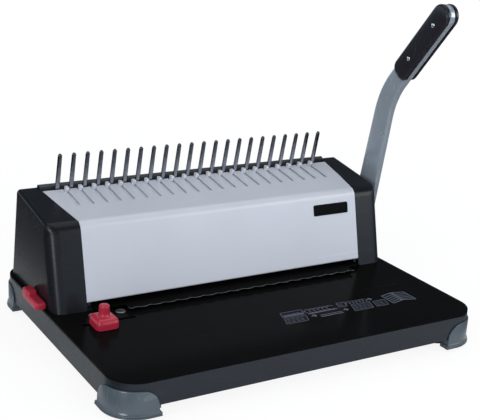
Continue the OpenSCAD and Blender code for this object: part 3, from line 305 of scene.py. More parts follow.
def painted(name, colour, roughness, specular=0.5, metallic=0.0, peel=0.000012):
    """Sprayed or stoved paint: a little orange peel, a faint change of tone, a few fine scratches."""
    finish = Finish(name, metallic=metallic, specular_ior_level=specular)
    cloud = finish.between(0.3, 0.7, finish.noise(8, 3))
    rubbed = finish.scratches(0.25)
    body = finish.mix(cloud, colour, toned(colour, 1.07))
    finish.set("Base Color", finish.mix(rubbed * 0.25, body, toned(colour, 1.35, 0.003)))
    finish.set("Roughness", roughness + 0.07 * (finish.noise(40, 3) - 0.5) + rubbed * 0.12)
    finish.bump(finish.noise(PEEL_CELLS, 2), peel)
    return finish


def steel(name, colour, roughness, brush=(60, 60, 2500)):
    """Bare or plated steel with fine drawn lines and faint stains."""
    finish = Finish(name, metallic=1.0)
    lines = finish.noise(1, 3, 0.6, finish.stretched(*brush))
    stain = finish.between(0.3, 0.75, finish.noise(28, 4))
    finish.set("Base Color", finish.mix(stain, tuple(min(1, c * 1.08) for c in colour), toned(colour, 0.84)))
    finish.set("Roughness", roughness + 0.14 * (lines - 0.5) + stain * 0.06)
    finish.bump(lines, BRUSH_DEPTH)
    return finish


nodes = frame["nodes"]
body_of = {node: body for body, members in frame["record"]["behaviour"]["bodies"].items() for node in members}


def plain_mesh(piece):
    """The mesh of a piece as its modifiers leave it; the piece itself is removed."""
    view = bpy.context.evaluated_depsgraph_get()
    mesh = bpy.data.meshes.new_from_object(piece.evaluated_get(view), depsgraph=view)
    bpy.data.objects.remove(piece)
    return mesh


def applied(mesh, *modifiers):
    """The mesh after Blender's modifiers, each given as its kind and its settings."""
    blank = new_object("blank", mesh)
    for kind, settings in modifiers:
        modifier = blank.modifiers.new(kind.lower(), kind)
        for key, value in settings.items():
            setattr(modifier, key, value)
    return plain_mesh(blank)


def merged(node):
    """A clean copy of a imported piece's mesh, its flat faces whole."""
    form = bmesh.new()
    form.from_mesh(nodes[node].data)
    bmesh.ops.remove_doubles(form, verts=form.verts, dist=2e-6)
    bmesh.ops.dissolve_limit(form, angle_limit=math.radians(0.8), verts=form.verts, edges=form.edges)
    for face in form.faces:
        face.smooth = True
    mesh = bpy.data.meshes.new(node + "_form")
    form.to_mesh(mesh)
    form.free()
    return mesh


# Edges that turn by more than this are rounded
SHARP_TURN = math.radians(32)


def eased(mesh, radius, steps=2):
    """The mesh with its edges rounded by the radius in millimetres."""
    return applied(mesh, ("BEVEL", {"width": radius * MM, "segments": steps, "limit_method": "ANGLE",
                                    "angle_limit": SHARP_TURN, "miter_outer": "MITER_ARC"}),
                   ("WEIGHTED_NORMAL", {"keep_sharp": True, "weight": 60}))


def fitted(name, mesh, finish, *stands_for, body=None, slot=None):
    """Adds a finished piece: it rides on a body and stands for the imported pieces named."""
    mesh.name = name
    mesh.materials.clear()
    mesh.materials.append(finish.material)
    piece = new_object(name, mesh)
    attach(piece, body or body_of[stands_for[0]])
    if stands_for:
        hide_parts(*stands_for)
    return piece


def refined(node, finish, radius, steps=2):
    """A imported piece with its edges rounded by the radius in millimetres."""
    return fitted(node + "_finished", eased(merged(node), radius, steps), finish, node)


tray_plastic = moulded("tray_plastic", srgb(10, 21, 32), 0.27, 0.42)
refined("base_tray", tray_plastic, 0.8)

table_enamel = painted("table_enamel", srgb(14, 14, 14), 0.16, specular=0.011, peel=0.000004)
refined("table_top", table_enamel, 1.3, 3)

zinc_sheet = steel("zinc_sheet", (0.55, 0.56, 0.57), 0.4)
refined("bottom_plate", zinc_sheet, 0.3)


# ---------- feet ----------
# Four corner feet in a lighter grey plastic. Each wraps its corner with an arched shoulder over a
# stepped, grooved flange, is held by one screw and stands on a ribbed rubber pad.

HALF_WIDTH, CORNER = 191.975, 28
FOOT_REACH = 39.3
SHOULDER, FLANGE = 1.6, 3.2
FOOT_TOP, FLANGE_TOP, FOOT_UNDER, WALL_UNDER = 27.5, 6.5, 3.0, 11.85
# The shoulder's arch: its radius, where it starts before the foot's end, its length and drop, and
# how steeply the last of it falls to the flange
ARCH, ARCH_START, ARCH_LONG, ARCH_DROP, ARCH_FALL = 16, 18, 15.9, 14.2, 14
FOOT_BAND = 8
FOOT_SCREW_IN = 14.64

TABLE_DEPTH, TABLE_TOP = 286, 36
# The handle makes the machine lopsided, so the table's middle lies this far left of the whole's
LOPSIDED = 2.65


def spot(x, y, z):
    """A place in millimetres: x from the table's middle, y from its front edge, z from the desk."""
    return Vector((x - LOPSIDED, y - TABLE_DEPTH / 2, z)) * MM


def loft(rings, sharp=40):
    """A skin through rings of points, each ring closed, its two ends shut by a face."""
    form = bmesh.new()
    loops = [[form.verts.new(point) for point in ring] for ring in rings]
    for first, second in zip(loops, loops[1:]):
        for i, vert in enumerate(first):
            j = (i + 1) % len(first)
            form.faces.new((vert, first[j], second[j], second[i]))
    form.faces.new(loops[0])
    form.faces.new(loops[-1])
    bmesh.ops.remove_doubles(form, verts=form.verts, dist=1e-6)
    bmesh.ops.dissolve_degenerate(form, edges=form.edges, dist=1e-6)
    bmesh.ops.recalc_face_normals(form, faces=form.faces)
    for face in form.faces:
        face.smooth = True
    mesh = bpy.data.meshes.new("loft")
    form.to_mesh(mesh)
    form.free()
    mesh.set_sharp_from_angle(angle=math.radians(sharp))
    return mesh


def joined(*meshes):
    """One mesh from several."""
    form = bmesh.new()
    for mesh in meshes:
        form.from_mesh(mesh)
    whole = bpy.data.meshes.new("joined")
    form.to_mesh(whole)
    form.free()
    return whole


def turned(centre, profile, steps=40, axis=(0, 0, 1)):
    """A turned piece: points of radius and height in millimetres, spun about an axis."""
    lie = Vector((0, 0, 1)).rotation_difference(Vector(axis))
    rings = []
    for radius, rise in profile:
        ring = []
        for i in range(steps):
            angle = 2 * math.pi * i / steps
            point = Vector((radius * math.cos(angle), radius * math.sin(angle), rise))
            ring.append(centre + lie @ point * MM)
        rings.append(ring)
    return loft(rings)


foot_plastic = moulded("foot_plastic", srgb(72, 82, 90), 0.24, 0.55)
pad_rubber = moulded("pad_rubber", srgb(30, 30, 30), 0.8, 0.3, 0.00004)
screw_steel = steel("screw_steel", (0.5, 0.5, 0.52), 0.3)


def foot_top(run):
    """Height of the shoulder at a distance along the wall from the flange's outer face."""
    past = run - (FOOT_REACH + FLANGE - ARCH_START)
    if past <= 0:
        return FOOT_TOP
    if past < ARCH_LONG:
        return FOOT_TOP - ARCH + math.sqrt(ARCH ** 2 - past ** 2)
    return max(FLANGE_TOP, FOOT_TOP - ARCH_DROP - (past - ARCH_LONG) * ARCH_FALL)


def foot_path():
    """Wall points of a corner with their outward directions, closest where the arch falls."""
    straight = [FOOT_REACH, 38.0, 37.75, 37.6, 37.45, 37.3, 37.1, 36.7, 36.0, 35.0, 33.5, 32.0, 30.0]
    path = [(Vector((0, run)), Vector((-1, 0))) for run in straight]
    for i in range(21):
        angle = math.pi / 2 * i / 20
        out = Vector((-math.cos(angle), -math.sin(angle)))
        path.append((Vector((CORNER, CORNER)) + out * CORNER, out))
    return path + [(Vector((run, 0)), Vector((0, -1))) for run in reversed(straight)]


def foot(side, end):
    """One foot: side is -1 for left and 1 for right, end is -1 for front and 1 for rear."""
    def at(flat, z):
        """A place from a point's distances to the corner's two walls."""
        x = side * (HALF_WIDTH - flat.x)
        return spot(x, flat.y if end < 0 else TABLE_DEPTH - flat.y, z)

    rings = []
    for wall, out in foot_path():
        top = min(foot_top(wall.x + FLANGE), foot_top(wall.y + FLANGE))
        section = [(0.15, top), (SHOULDER - 0.8, top), (SHOULDER - 0.25, top - 0.2), (SHOULDER, top - 0.8),
                   (SHOULDER, FLANGE_TOP + 1.8), (SHOULDER + 0.25, FLANGE_TOP + 0.8),
                   (SHOULDER + 0.7, FLANGE_TOP + 0.2), (FLANGE - 0.9, FLANGE_TOP),
                   (FLANGE - 0.4, FLANGE_TOP - 0.35), (FLANGE - 0.3, 5.3), (FLANGE - 0.9, 4.95),
                   (FLANGE - 0.8, 4.75), (FLANGE - 0.1, 4.45), (FLANGE, 4.1), (FLANGE, 3.6),
                   (FLANGE - 0.5, FOOT_UNDER), (-FOOT_BAND, FOOT_UNDER),
                   (-FOOT_BAND, WALL_UNDER), (0.15, WALL_UNDER)]
        rings.append([at(wall + out * reach, min(z, top)) for reach, z in section])
    band = loft(rings)
    corner_line = [wall - out * 0.4 for wall, out in foot_path()]
    corner_line.append(Vector((FOOT_REACH - 0.4, FOOT_REACH - 0.4)))
    plate = loft([[at(point, z) for point in corner_line] for z in (9, WALL_UNDER)])
    seat = [(0, 5), (12.15, 5), (12.15, 3.3), (12.5, 3), (14.1, 3), (14.5, 3.4), (14.5, 9.2), (0, 9.2)]
    boss = [(0, 5.6), (4.4, 5.6), (4.4, 3.2), (4.7, 3), (6.2, 3), (6.6, 3.4), (6.6, 9.2), (0, 9.2)]
    return joined(band, plate, turned(at(Vector((CORNER, CORNER)), 0), seat),
                  turned(at(Vector((FOOT_SCREW_IN, FOOT_SCREW_IN)), 0), boss))


for end, end_name in ((-1, "front"), (1, "rear")):
    for side, side_name in ((-1, "left"), (1, "right")):
        node = "foot_" + end_name + "_" + side_name
        fitted(node + "_finished", foot(side, end), foot_plastic, node)

pad_profile = [(0, 0.6), (6.4, 0.6), (7, 0), (8.5, 0), (8.8, 0.4), (9.3, 0.4), (9.6, 0), (11.3, 0), (12, 0.7),
               (12, 4.7), (0, 4.7)]
pads = [turned(spot(x, y, 0), pad_profile) for x in (CORNER - HALF_WIDTH, HALF_WIDTH - CORNER)
        for y in (CORNER, TABLE_DEPTH - CORNER)]
fitted("foot_pads_finished", joined(*pads), pad_rubber, "foot_pads")
refined("base_screws", screw_steel, 0.15)


# ---------- frame and throat ----------
# Two pressed steel side plates stand on the table and carry everything else. Between them lie the
# ground die plate and the black guide plate, worn bright along its scalloped lip. Brass bushes in
# the side plates carry the shaft.

frame_steel = painted("frame_steel", srgb(34, 35, 38), 0.4, specular=0.3)
die_steel = steel("die_steel", (0.5, 0.51, 0.53), 0.25)
guide_black = painted("guide_black", srgb(5, 5, 5), 0.4, specular=0.01)
bush_brass = steel("bush_brass", (0.72, 0.52, 0.25), 0.3)
for node in ("frame_plate_left", "frame_plate_right", "throat_spacers"):
    refined(node, frame_steel, 0.35)
for node in ("frame_screws", "die_screws", "comb_screws", "rear_cover_screws", "cap_screws"):
    refined(node, screw_steel, 0.12)
refined("die_plate", die_steel, 0.15)
refined("guide_plate", guide_black, 0.3)

PITCH, HOLES = 14.2875, 21
# The plate's scalloped lip in plan: how far back it starts, its corners, and each scallop's circle
LIP_REAR, LIP_FRONT = 134, 130.7
SCALLOP, SCALLOP_Y, SCALLOP_FROM, SCALLOP_SWEEP = 5.2, 127.1, 136.2, 92.4
EDGE_THICK, EDGE_HIGH = 0.3, 40.0

lip_left, lip_right = -8.5 * PITCH, 9.5 * PITCH
edge_line = [(lip_left, LIP_REAR), (lip_left, LIP_FRONT)]
for i in range(-8, 10):
    for k in range(9):
        angle = math.radians(SCALLOP_FROM - SCALLOP_SWEEP * k / 8)
        edge_line.append((PITCH * i + SCALLOP * math.cos(angle), SCALLOP_Y + SCALLOP * math.sin(angle)))
edge_line += [(lip_right, LIP_FRONT), (lip_right, LIP_REAR)]
edge_rings = []
for i, (x, y) in enumerate(edge_line):
    before, after = edge_line[max(0, i - 1)], edge_line[min(len(edge_line) - 1, i + 1)]
    out = Vector((after[1] - before[1], before[0] - after[0], 0)).normalized()
    round_edge = [out * math.cos(turn) + Vector((0, 0, math.sin(turn)))
                  for turn in (math.radians(45 * k) for k in range(8))]
    edge_rings.append([spot(x, y, EDGE_HIGH) + way * EDGE_THICK * MM for way in round_edge])
bright_edge = steel("bright_edge", (0.12, 0.12, 0.12), 0.45)
fitted("guide_edge", loft(edge_rings), bright_edge, body="machine", slot="guide_black")
refined("shaft_bushes", bush_brass, 0.3)


# ---------- drive ----------
# The handle turns a ground steel shaft. Two pinions on it drive the racks of the punch bar, and two
# cranks with rollers drive the comb opener; all are pinned to the shaft, which a clip holds in place.

shaft_steel = steel("shaft_steel", (0.55, 0.56, 0.58), 0.22, (2500, 60, 60))
gear_steel = steel("gear_steel", (0.42, 0.43, 0.45), 0.35)
for node in ("pinion_left", "pinion_right"):
    refined(node, gear_steel, 0.15)
for node in ("crank_left", "crank_right", "shaft_pins", "shaft_clip"):
    refined(node, gear_steel, 0.25)
for node in ("main_shaft", "crank_rollers"):
    refined(node, shaft_steel, 0.3)


# ---------- punch ----------
# A heavy bar carries one hardened pin to each hole. A pin's foot is ground hollow, so that its two
# corners cut first; racks are screwed to the bar's ends from the front.

def row_tree():
    """Copies the first piece along a line, a step apart."""
    tree = bpy.data.node_groups.new("row_of_pieces", "GeometryNodeTree")
    for label, kind in (("Piece", "Geometry"), ("Count", "Int"), ("Step", "Vector"), ("Finish", "Material")):
        tree.interface.new_socket(label, in_out="INPUT", socket_type="NodeSocket" + kind)
    tree.interface.new_socket("Row", in_out="OUTPUT", socket_type="NodeSocketGeometry")
    given = tree.nodes.new("NodeGroupInput")
    line = tree.nodes.new("GeometryNodeMeshLine")
    copies = tree.nodes.new("GeometryNodeInstanceOnPoints")
    real = tree.nodes.new("GeometryNodeRealizeInstances")
    dress = tree.nodes.new("GeometryNodeSetMaterial")
    done = tree.nodes.new("NodeGroupOutput")
    for source, target in ((given.outputs["Count"], line.inputs["Count"]),
                           (given.outputs["Step"], line.inputs["Offset"]),
                           (line.outputs["Mesh"], copies.inputs["Points"]),
                           (given.outputs["Piece"], copies.inputs["Instance"]),
                           (copies.outputs["Instances"], real.inputs["Geometry"]),
                           (real.outputs["Geometry"], dress.inputs["Geometry"]),
                           (given.outputs["Finish"], dress.inputs["Material"]),
                           (dress.outputs["Geometry"], done.inputs["Row"])):
        tree.links.new(source, target)
    return tree


pieces_in_row = row_tree()


def row(mesh, count, step, finish):
    """The mesh copied count times, step millimetres apart."""
    blank = new_object("row", mesh)
    modifier = blank.modifiers.new("row", "NODES")
    modifier.node_group = pieces_in_row
    given = {"Count": count, "Step": [value * MM for value in step], "Finish": finish.material}
    for item in pieces_in_row.interface.items_tree:
        if item.name in given:
            modifier[item.identifier] = given[item.name]
    return plain_mesh(blank)


ROW_END = PITCH * (HOLES - 1) / 2
PUNCH_LINE = 168
PIN_HALF, PIN_DEEP, PIN_FOOT, PIN_TOP = 4, 1.4, 38.6, 59
PIN_HOLLOW, PIN_CORNER = 1.1, 0.15

punch_steel = steel("punch_steel", (0.5, 0.51, 0.53), 0.22)
refined("punch_bar", gear_steel, 0.6)
refined("rack_left", gear_steel, 0.15)
refined("rack_right", gear_steel, 0.15)
refined("rack_screws", screw_steel, 0.12)

pin_rings = []
for x in (-4, -3.6, -2.4, -1.2, 0, 1.2, 2.4, 3.6, 4):
    foot_z = PIN_FOOT + PIN_HOLLOW * (1 - (x / PIN_HALF) ** 2)
    deep = PIN_DEEP - (PIN_CORNER if abs(x) == PIN_HALF else 0)
    section = ((-deep, foot_z), (deep, foot_z), (deep, PIN_TOP), (-deep, PIN_TOP))
    pin_rings.append([spot(x - ROW_END, PUNCH_LINE + y, z) for y, z in section])
pins = row(loft(pin_rings, sharp=30), HOLES, (PITCH, 0, 0), punch_steel)
fitted("punch_pins_finished", pins, punch_steel, "punch_pins")


# ---------- comb opener ----------
# A pale sprayed slide under the slope has one hook to each ring of a comb; the cranks push it
# forward. Behind it stands the fixed comb of blunt prongs on one strip of dark steel, with a painted
# highlight at their roots that fades to the dark steel towards their tips.

PRONG_FOOT_Y, PRONG_FOOT_Z, PRONG_TILT = 242.4, 127.31, math.radians(12)
PRONG_LENGTH, PRONG_WIDE, PRONG_THICK, PRONG_TIP = 38, 4.8, 3.0, 2.8
PRONG_ROOT = -14
# How much a prong narrows and thins towards its tip, and the squareness of its section
NARROWING, THINNING, SQUARE_WIDE, SQUARE_THICK = 0.12, 0.15, 0.55, 0.75
STRIP_LOW, STRIP_HIGH, STRIP_CORNER, STRIP_HALF = -30, -10, 0.4, 154.575

opener_zinc = painted("opener_zinc", srgb(212, 216, 224), 0.35, metallic=0.3)
refined("opener_plate", opener_zinc, 0.3)
refined("opener_brackets", opener_zinc, 0.35)

# The prongs' roots are painted lighter than their dark steel as a painted highlight: full below the first
# height in metres, gone above the second
ROOT_PAINTED_HIGHLIGHT, DARK_TIP = (0.42, 0.43, 0.47), (0.1, 0.105, 0.12)
PAINTED_HIGHLIGHT_TO, PAINTED_HIGHLIGHT_GONE = 0.128, 0.157
prong_steel = steel("prong_steel", DARK_TIP, 0.2, (60, 60, 400))
height = prong_steel.node("SeparateXYZ", {}, {0: prong_steel.at}, out="Z")
painted_highlight_fade = prong_steel.between(PAINTED_HIGHLIGHT_TO, PAINTED_HIGHLIGHT_GONE, height)
worn = prong_steel.between(0.3, 0.7, prong_steel.noise(180, 3), 0, 0.25)
# Painted highlight at the roots fading to the dark steel with height, with a few random darker patches
prong_steel.set("Base Color", prong_steel.mix(painted_highlight_fade + worn, ROOT_PAINTED_HIGHLIGHT, DARK_TIP))


def on_comb(x, out, rise):
    """A place on the prong comb: out of its front face and up along the prongs."""
    lean = Vector((0, -math.sin(PRONG_TILT), math.cos(PRONG_TILT)))
    front = Vector((0, -math.cos(PRONG_TILT), -math.sin(PRONG_TILT)))
    return spot(x, PRONG_FOOT_Y, PRONG_FOOT_Z) + (lean * rise + front * out) * MM


def prong(x):
    """A flat prong with rounded edges, drawn in a little and rounded at its tip."""
    rings = []
    start = PRONG_LENGTH - PRONG_TIP
    stops = [PRONG_ROOT, 4, 14, 24, start]
    stops += [start + PRONG_TIP * math.sin(math.radians(a)) for a in range(12, 88, 12)]
    for rise in stops:
        near = max(0, (rise - start) / PRONG_TIP)
        swell = math.sqrt(1 - near ** 2)
        share = max(0, rise) / PRONG_LENGTH
        wide = PRONG_WIDE / 2 * (1 - NARROWING * share) * swell
        thick = PRONG_THICK / 2 * (1 - THINNING * share) * (0.3 + 0.7 * swell)
        ring = []
        for i in range(24):
            angle = 2 * math.pi * i / 24
            c, s = math.cos(angle), math.sin(angle)
            ring.append(on_comb(x + wide * math.copysign(abs(c) ** SQUARE_WIDE, c),
                                thick * math.copysign(abs(s) ** SQUARE_THICK, s), rise))
        rings.append(ring)
    return loft(rings, sharp=60)


prongs = row(prong(-ROW_END - PITCH / 2), HOLES + 1, (PITCH, 0, 0), prong_steel)
face, rim = PRONG_THICK / 2, PRONG_THICK / 2 - STRIP_CORNER
strip_edge = [(-face, STRIP_LOW + STRIP_CORNER), (-rim, STRIP_LOW), (rim, STRIP_LOW),
              (face, STRIP_LOW + STRIP_CORNER), (face, STRIP_HIGH - STRIP_CORNER), (rim, STRIP_HIGH),
              (-rim, STRIP_HIGH), (-face, STRIP_HIGH - STRIP_CORNER)]
strip_ends = ((-STRIP_HALF, 0.8), (STRIP_CORNER - STRIP_HALF, 1), (STRIP_HALF - STRIP_CORNER, 1),
              (STRIP_HALF, 0.8))
strip = loft([[on_comb(x, out * shrink, rise) for out, rise in strip_edge] for x, shrink in strip_ends])
fitted("prong_comb_finished", joined(prongs, strip), prong_steel, "prong_comb")


# ---------- housing ----------
# A bent steel cover in satin silver spray closes the front and the slope, a black one the rear.
# Black moulded end caps slide over both and are screwed from below the table.

silver_paint = painted("silver_paint", srgb(192, 196, 206), 0.5, metallic=0.15)
silver_paint.set("Coat Weight", 0.2)
silver_paint.set("Coat Roughness", 0.18)
rear_paint = painted("rear_paint", srgb(38, 43, 49), 0.38)
cap_plastic = moulded("cap_plastic", srgb(21, 23, 28), 0.28, 0.2, 0.000006)

# The cover's outer line: the foot of its front face, the face's run and rise, the bend, the slope
FACE_Y, FACE_Z, FACE_RUN, FACE_RISE = 150.7, 43.2, 18, 72.7
FACE_LEAN = math.atan(FACE_RUN / FACE_RISE)
SLOPE, SLOPE_LENGTH = math.radians(8.8), 71.947
SLOPE_Y, SLOPE_Z = FACE_Y + FACE_RUN, FACE_Z + FACE_RISE
BEND_FROM, BEND_TO = 166.1, 98.8
COVER_BEND, COVER_BEND_R, COVER_THICK = Vector((175.997, 107.922)), 9, 1.2
HEM, HEM_R, HEM_START, HEM_DEPTH = Vector((152.1, 44.3)), 1.1, 1.9, 7
# Half width of the face and of its hem; the slope flares from 5 mm behind the bend to its rear edge
COVER_HALF, HEM_HALF, FLARE, FLARE_START = 155.775, 150.4, 11.2, 5
SLOT_HALF, SLOT_FRONT, SLOT_REAR = 2.1, 37, 80


def carved(mesh, *tools):
    """The mesh with the forms of the tools cut out of it."""
    blanks = [new_object("tool", tool) for tool in tools]
    cuts = [("BOOLEAN", {"operation": "DIFFERENCE", "object": blank, "solver": "EXACT"}) for blank in blanks]
    whole = applied(mesh, *cuts)
    for blank in blanks:
        bpy.data.objects.remove(blank)
    return whole


def toward(angle):
    """The direction at an angle in radians."""
    return Vector((math.cos(angle), math.sin(angle)))


def on_slope(x, run, out):
    """A place on the slope: along it from the bend and out of it."""
    return spot(x, SLOPE_Y + run * math.cos(SLOPE) - out * math.sin(SLOPE),
                SLOPE_Z + run * math.sin(SLOPE) + out * math.cos(SLOPE))


def cover_path():
    """Outer line of the folded cover as half width, place and outward direction in y and z."""
    face_out = Vector((-math.cos(FACE_LEAN), math.sin(FACE_LEAN)))
    slope_out = Vector((-math.sin(SLOPE), math.cos(SLOPE)))
    down = Vector((0, -1))
    path = [(HEM_HALF, Vector((FACE_Y + HEM_DEPTH, FACE_Z)), down),
            (HEM_HALF, Vector((FACE_Y + HEM_START, FACE_Z)), down)]
    for turn in (250, 225, 200, 180):
        out = toward(math.radians(turn))
        path.append((COVER_HALF, HEM + out * HEM_R, out))
    for near in (0.03, 0.06, 0.35, 0.65, 0.86, 0.9):
        path.append((COVER_HALF, Vector((FACE_Y + FACE_RUN * near, FACE_Z + FACE_RISE * near)), face_out))
    for i in range(17):
        out = toward(math.radians(BEND_FROM + (BEND_TO - BEND_FROM) * i / 16))
        path.append((COVER_HALF, COVER_BEND + out * COVER_BEND_R, out))
    for run in (8, 12, 20, 30, 45, 60, SLOPE_LENGTH):
        half = COVER_HALF + FLARE * (run - FLARE_START) / (SLOPE_LENGTH - FLARE_START)
        place = Vector((SLOPE_Y + run * math.cos(SLOPE), SLOPE_Z + run * math.sin(SLOPE)))
        path.append((half, place, slope_out))
    return path


cover_rings = []
for half, place, out in cover_path():
    back = place - out * COVER_THICK
    corners = ((-half, place), (half, place), (half, back), (-half, back))
    cover_rings.append([spot(x, point.x, point.y) for x, point in corners])
slot_line = [(-SLOT_HALF, SLOT_REAR), (SLOT_HALF, SLOT_REAR), (SLOT_HALF, SLOT_FRONT)]
slot_line += [(SLOT_HALF * math.cos(a), SLOT_FRONT - SLOT_HALF * math.sin(a))
              for a in (math.radians(d) for d in range(15, 180, 15))]
slot_line += [(-SLOT_HALF, SLOT_FRONT)]
slot = loft([[on_slope(x - ROW_END, run, out) for x, run in slot_line] for out in (-4, 3)])
cover = carved(loft(cover_rings, sharp=30), row(slot, HOLES, (PITCH, 0, 0), silver_paint))
fitted("front_cover_finished", eased(cover, 0.35, 3), silver_paint, "front_cover")
refined("rear_cover", rear_paint, 0.4)

# The caps: their sides, wall and foot, the round corners of their outline in y and z, the radius of
# their outer edge along the front and the rest, how far the inner edge runs over the bend and the
# slope, their openings, and their screws and ribs
CAP_OUT, CAP_IN, CAP_WALL, CAP_LOW = 187.975, 155.925, 2.5, 36.15
CAP_BEND, CAP_BEND_R = Vector((179.24, 104.377)), 13
CAP_HEEL, CAP_HEEL_R = Vector((249.08, 123.79)), 4.5
CAP_FRONT_Y, CAP_REAR_Y = 148.954, 267.975
FRONT_EDGE, OTHER_EDGE, LEAST_EDGE = 12, 4, 0.5
BEND_REACH, SLOPE_REACH = 9, 63
REAR_FOOT_Y, REAR_LEAN = 268, math.atan(14.9 / 90.55)
SHAFT_Y, SHAFT_Z = 201.5, 76
BORE_X, BORE_R, BORE_LONG = 181, 7.5, 12
LINK_FRONT, LINK_REAR, LINK_TOP = 173.25, 187.95, 38.35
CAP_SCREW_X, CAP_SCREW_ROWS = 178.975, (164.7, 246)
RIB_FROM, RIB_TO, RIB_HALF, RIB_TOP = 183.4, 186.6, 1, 50


def cap_line():
    """The caps' outline in y and z from the front's foot to the rear's, with outward directions,
    the radius of the outer edge there and the distance along the slope of the inner edge."""
    face_out = Vector((-math.cos(FACE_LEAN), math.sin(FACE_LEAN)))
    slope_out = Vector((-math.sin(SLOPE), math.cos(SLOPE)))
    rear_out = toward(REAR_LEAN)
    foot = Vector((CAP_FRONT_Y, CAP_LOW))
    bend_start = CAP_BEND + toward(math.radians(BEND_FROM)) * CAP_BEND_R
    line = [(foot.lerp(bend_start, i / 8), face_out, FRONT_EDGE, 0) for i in range(8)]
    for i in range(15):
        near = i / 14
        out = toward(math.radians(BEND_FROM + (BEND_TO - BEND_FROM) * near))
        edge = FRONT_EDGE + (OTHER_EDGE - FRONT_EDGE) * near ** 2 * (3 - 2 * near)
        line.append((CAP_BEND + out * CAP_BEND_R, out, edge, BEND_REACH * near))
    start = CAP_BEND + slope_out * CAP_BEND_R
    end = CAP_HEEL + slope_out * CAP_HEEL_R
    for i in range(1, 8):
        line.append((start.lerp(end, i / 8), slope_out, OTHER_EDGE, BEND_REACH + SLOPE_REACH * i / 8))
    for i in range(9):
        out = toward(math.radians(BEND_TO + (math.degrees(REAR_LEAN) - BEND_TO) * i / 8))
        line.append((CAP_HEEL + out * CAP_HEEL_R, out, OTHER_EDGE, SLOPE_LENGTH))
    top, last = CAP_HEEL + rear_out * CAP_HEEL_R, Vector((CAP_REAR_Y, CAP_LOW))
    return line + [(top.lerp(last, i / 8), rear_out, OTHER_EDGE, SLOPE_LENGTH) for i in range(1, 9)]


def cap_solid(side, wall, low, inward):
    """The caps' outer form, or with a wall its hollow, down to a height and drawn on inward."""
    line = cap_line()
    turns = [math.pi / 2 * i / 10 for i in range(11)]
    # Each ring's share of the way round the outer edge, sideways and inwards; None is the inner side
    steps = [(None, 0), (0, 0)] + [(math.sin(a), 1 - math.cos(a)) for a in turns[1:]] + [(1, 1.12)]
    rings = []
    for sideways, inwards in steps:
        ring = []
        for i, (point, out, radius, run) in enumerate(line):
            edge = max(radius - wall, LEAST_EDGE)
            inset = wall + edge * inwards
            place = point - out * inset
            if i in (0, len(line) - 1):
                slant = -out.y / out.x
                place = point - Vector((inset / out.x, 0)) + Vector((slant, 1)) * (low - CAP_LOW)
            if sideways is None:
                reach = CAP_IN + FLARE * run / SLOPE_LENGTH - inward
            else:
                reach = CAP_OUT - wall - edge * (1 - sideways)
            ring.append(spot(side * reach, place.x, place.y))
        rings.append(ring)
    return loft(rings)


def cap_screw_boss(side, y):
    """The boss of a cap screw, open from below, with a rib to the cap's side."""
    profile = [(0, 11), (2, 11), (2, 0), (4.8, 0), (5, 0.2), (5, 13.8), (4.8, 14), (0, 14)]
    corners = ((-RIB_HALF, CAP_LOW), (RIB_HALF, CAP_LOW), (RIB_HALF, RIB_TOP), (-RIB_HALF, RIB_TOP))
    rib = [[spot(side * x, y + across, z) for across, z in corners] for x in (RIB_FROM, RIB_TO)]
    return joined(turned(spot(side * CAP_SCREW_X, y, CAP_LOW), profile), loft(rib))


def end_cap(side):
    """A cap: its form, hollowed, with its opening and the bosses of its two screws. The right one
    has a hole for the shaft, the left one a low gap for the depth knob's link."""
    if side > 0:
        bore_profile = [(0, 0), (BORE_R, 0), (BORE_R, BORE_LONG), (0, BORE_LONG)]
        opening = turned(spot(BORE_X, SHAFT_Y, SHAFT_Z), bore_profile, 64, (1, 0, 0))
    else:
        corners = ((LINK_FRONT, 30), (LINK_REAR, 30), (LINK_REAR, LINK_TOP), (LINK_FRONT, LINK_TOP))
        opening = loft([[spot(x, y, z) for y, z in corners] for x in (-195, -182)])
    form = cap_solid(side, wall=0, low=CAP_LOW, inward=0)
    shell = carved(form, cap_solid(side, CAP_WALL, low=30, inward=12), opening)
    return joined(eased(shell, 0.35), *(cap_screw_boss(side, y) for y in CAP_SCREW_ROWS))


for node, side in (("end_cap_left", -1), ("end_cap_right", 1)):
    fitted(node + "_finished", end_cap(side), cap_plastic, node)

BEAD_HALF, BEAD_LONG, BEAD_ROWS = 4, 118, (22, 66)


def on_rear(x, out, rise):
    """A place on the rear wall: out of it and up along it."""
    lean = Vector((0, -math.sin(REAR_LEAN), math.cos(REAR_LEAN)))
    back = Vector((0, math.cos(REAR_LEAN), math.sin(REAR_LEAN)))
    return spot(x, REAR_FOOT_Y, TABLE_TOP) + (lean * rise + back * out) * MM


def bead(middle):
    """A long pressed bead with round ends along the rear wall."""
    rings = []
    for inset, out in ((0, -0.3), (0, 0.05), (0.5, 0.3), (1.2, 0.7), (2.2, 0.9), (BEAD_HALF - 0.4, 1.0)):
        ring = []
        for i in range(32):
            way = toward(2 * math.pi * (i + 0.5) / 32) * (BEAD_HALF - inset)
            ring.append(on_rear(math.copysign(BEAD_LONG, way.x) + way.x, out, middle + way.y))
        rings.append(ring)
    return loft(rings, sharp=50)


beads = joined(*(bead(middle) for middle in BEAD_ROWS))
fitted("rear_cover_beads", beads, rear_paint, body="machine", slot="rear_paint")


# ---------- name plate ----------
# A thin black lacquered plate with rounded corners and a soft rim, left plain, is stuck to the face
# of the silver cover near its right end.

PLATE_LEFT, PLATE_RIGHT, PLATE_LOW, PLATE_HIGH, PLATE_CORNER = 102.2, 145.4, 51.5, 63.1, 1.6

plate_black = painted("plate_black", srgb(12, 12, 13), 0.3, specular=0.02)


def on_face(x, out, rise):
    """A place on the front cover: out of it and up along it from its lower edge."""
    lean = Vector((0, math.sin(FACE_LEAN), math.cos(FACE_LEAN)))
    front = Vector((0, -math.cos(FACE_LEAN), math.sin(FACE_LEAN)))
    return spot(x, FACE_Y, FACE_Z) + (lean * rise + front * out) * MM


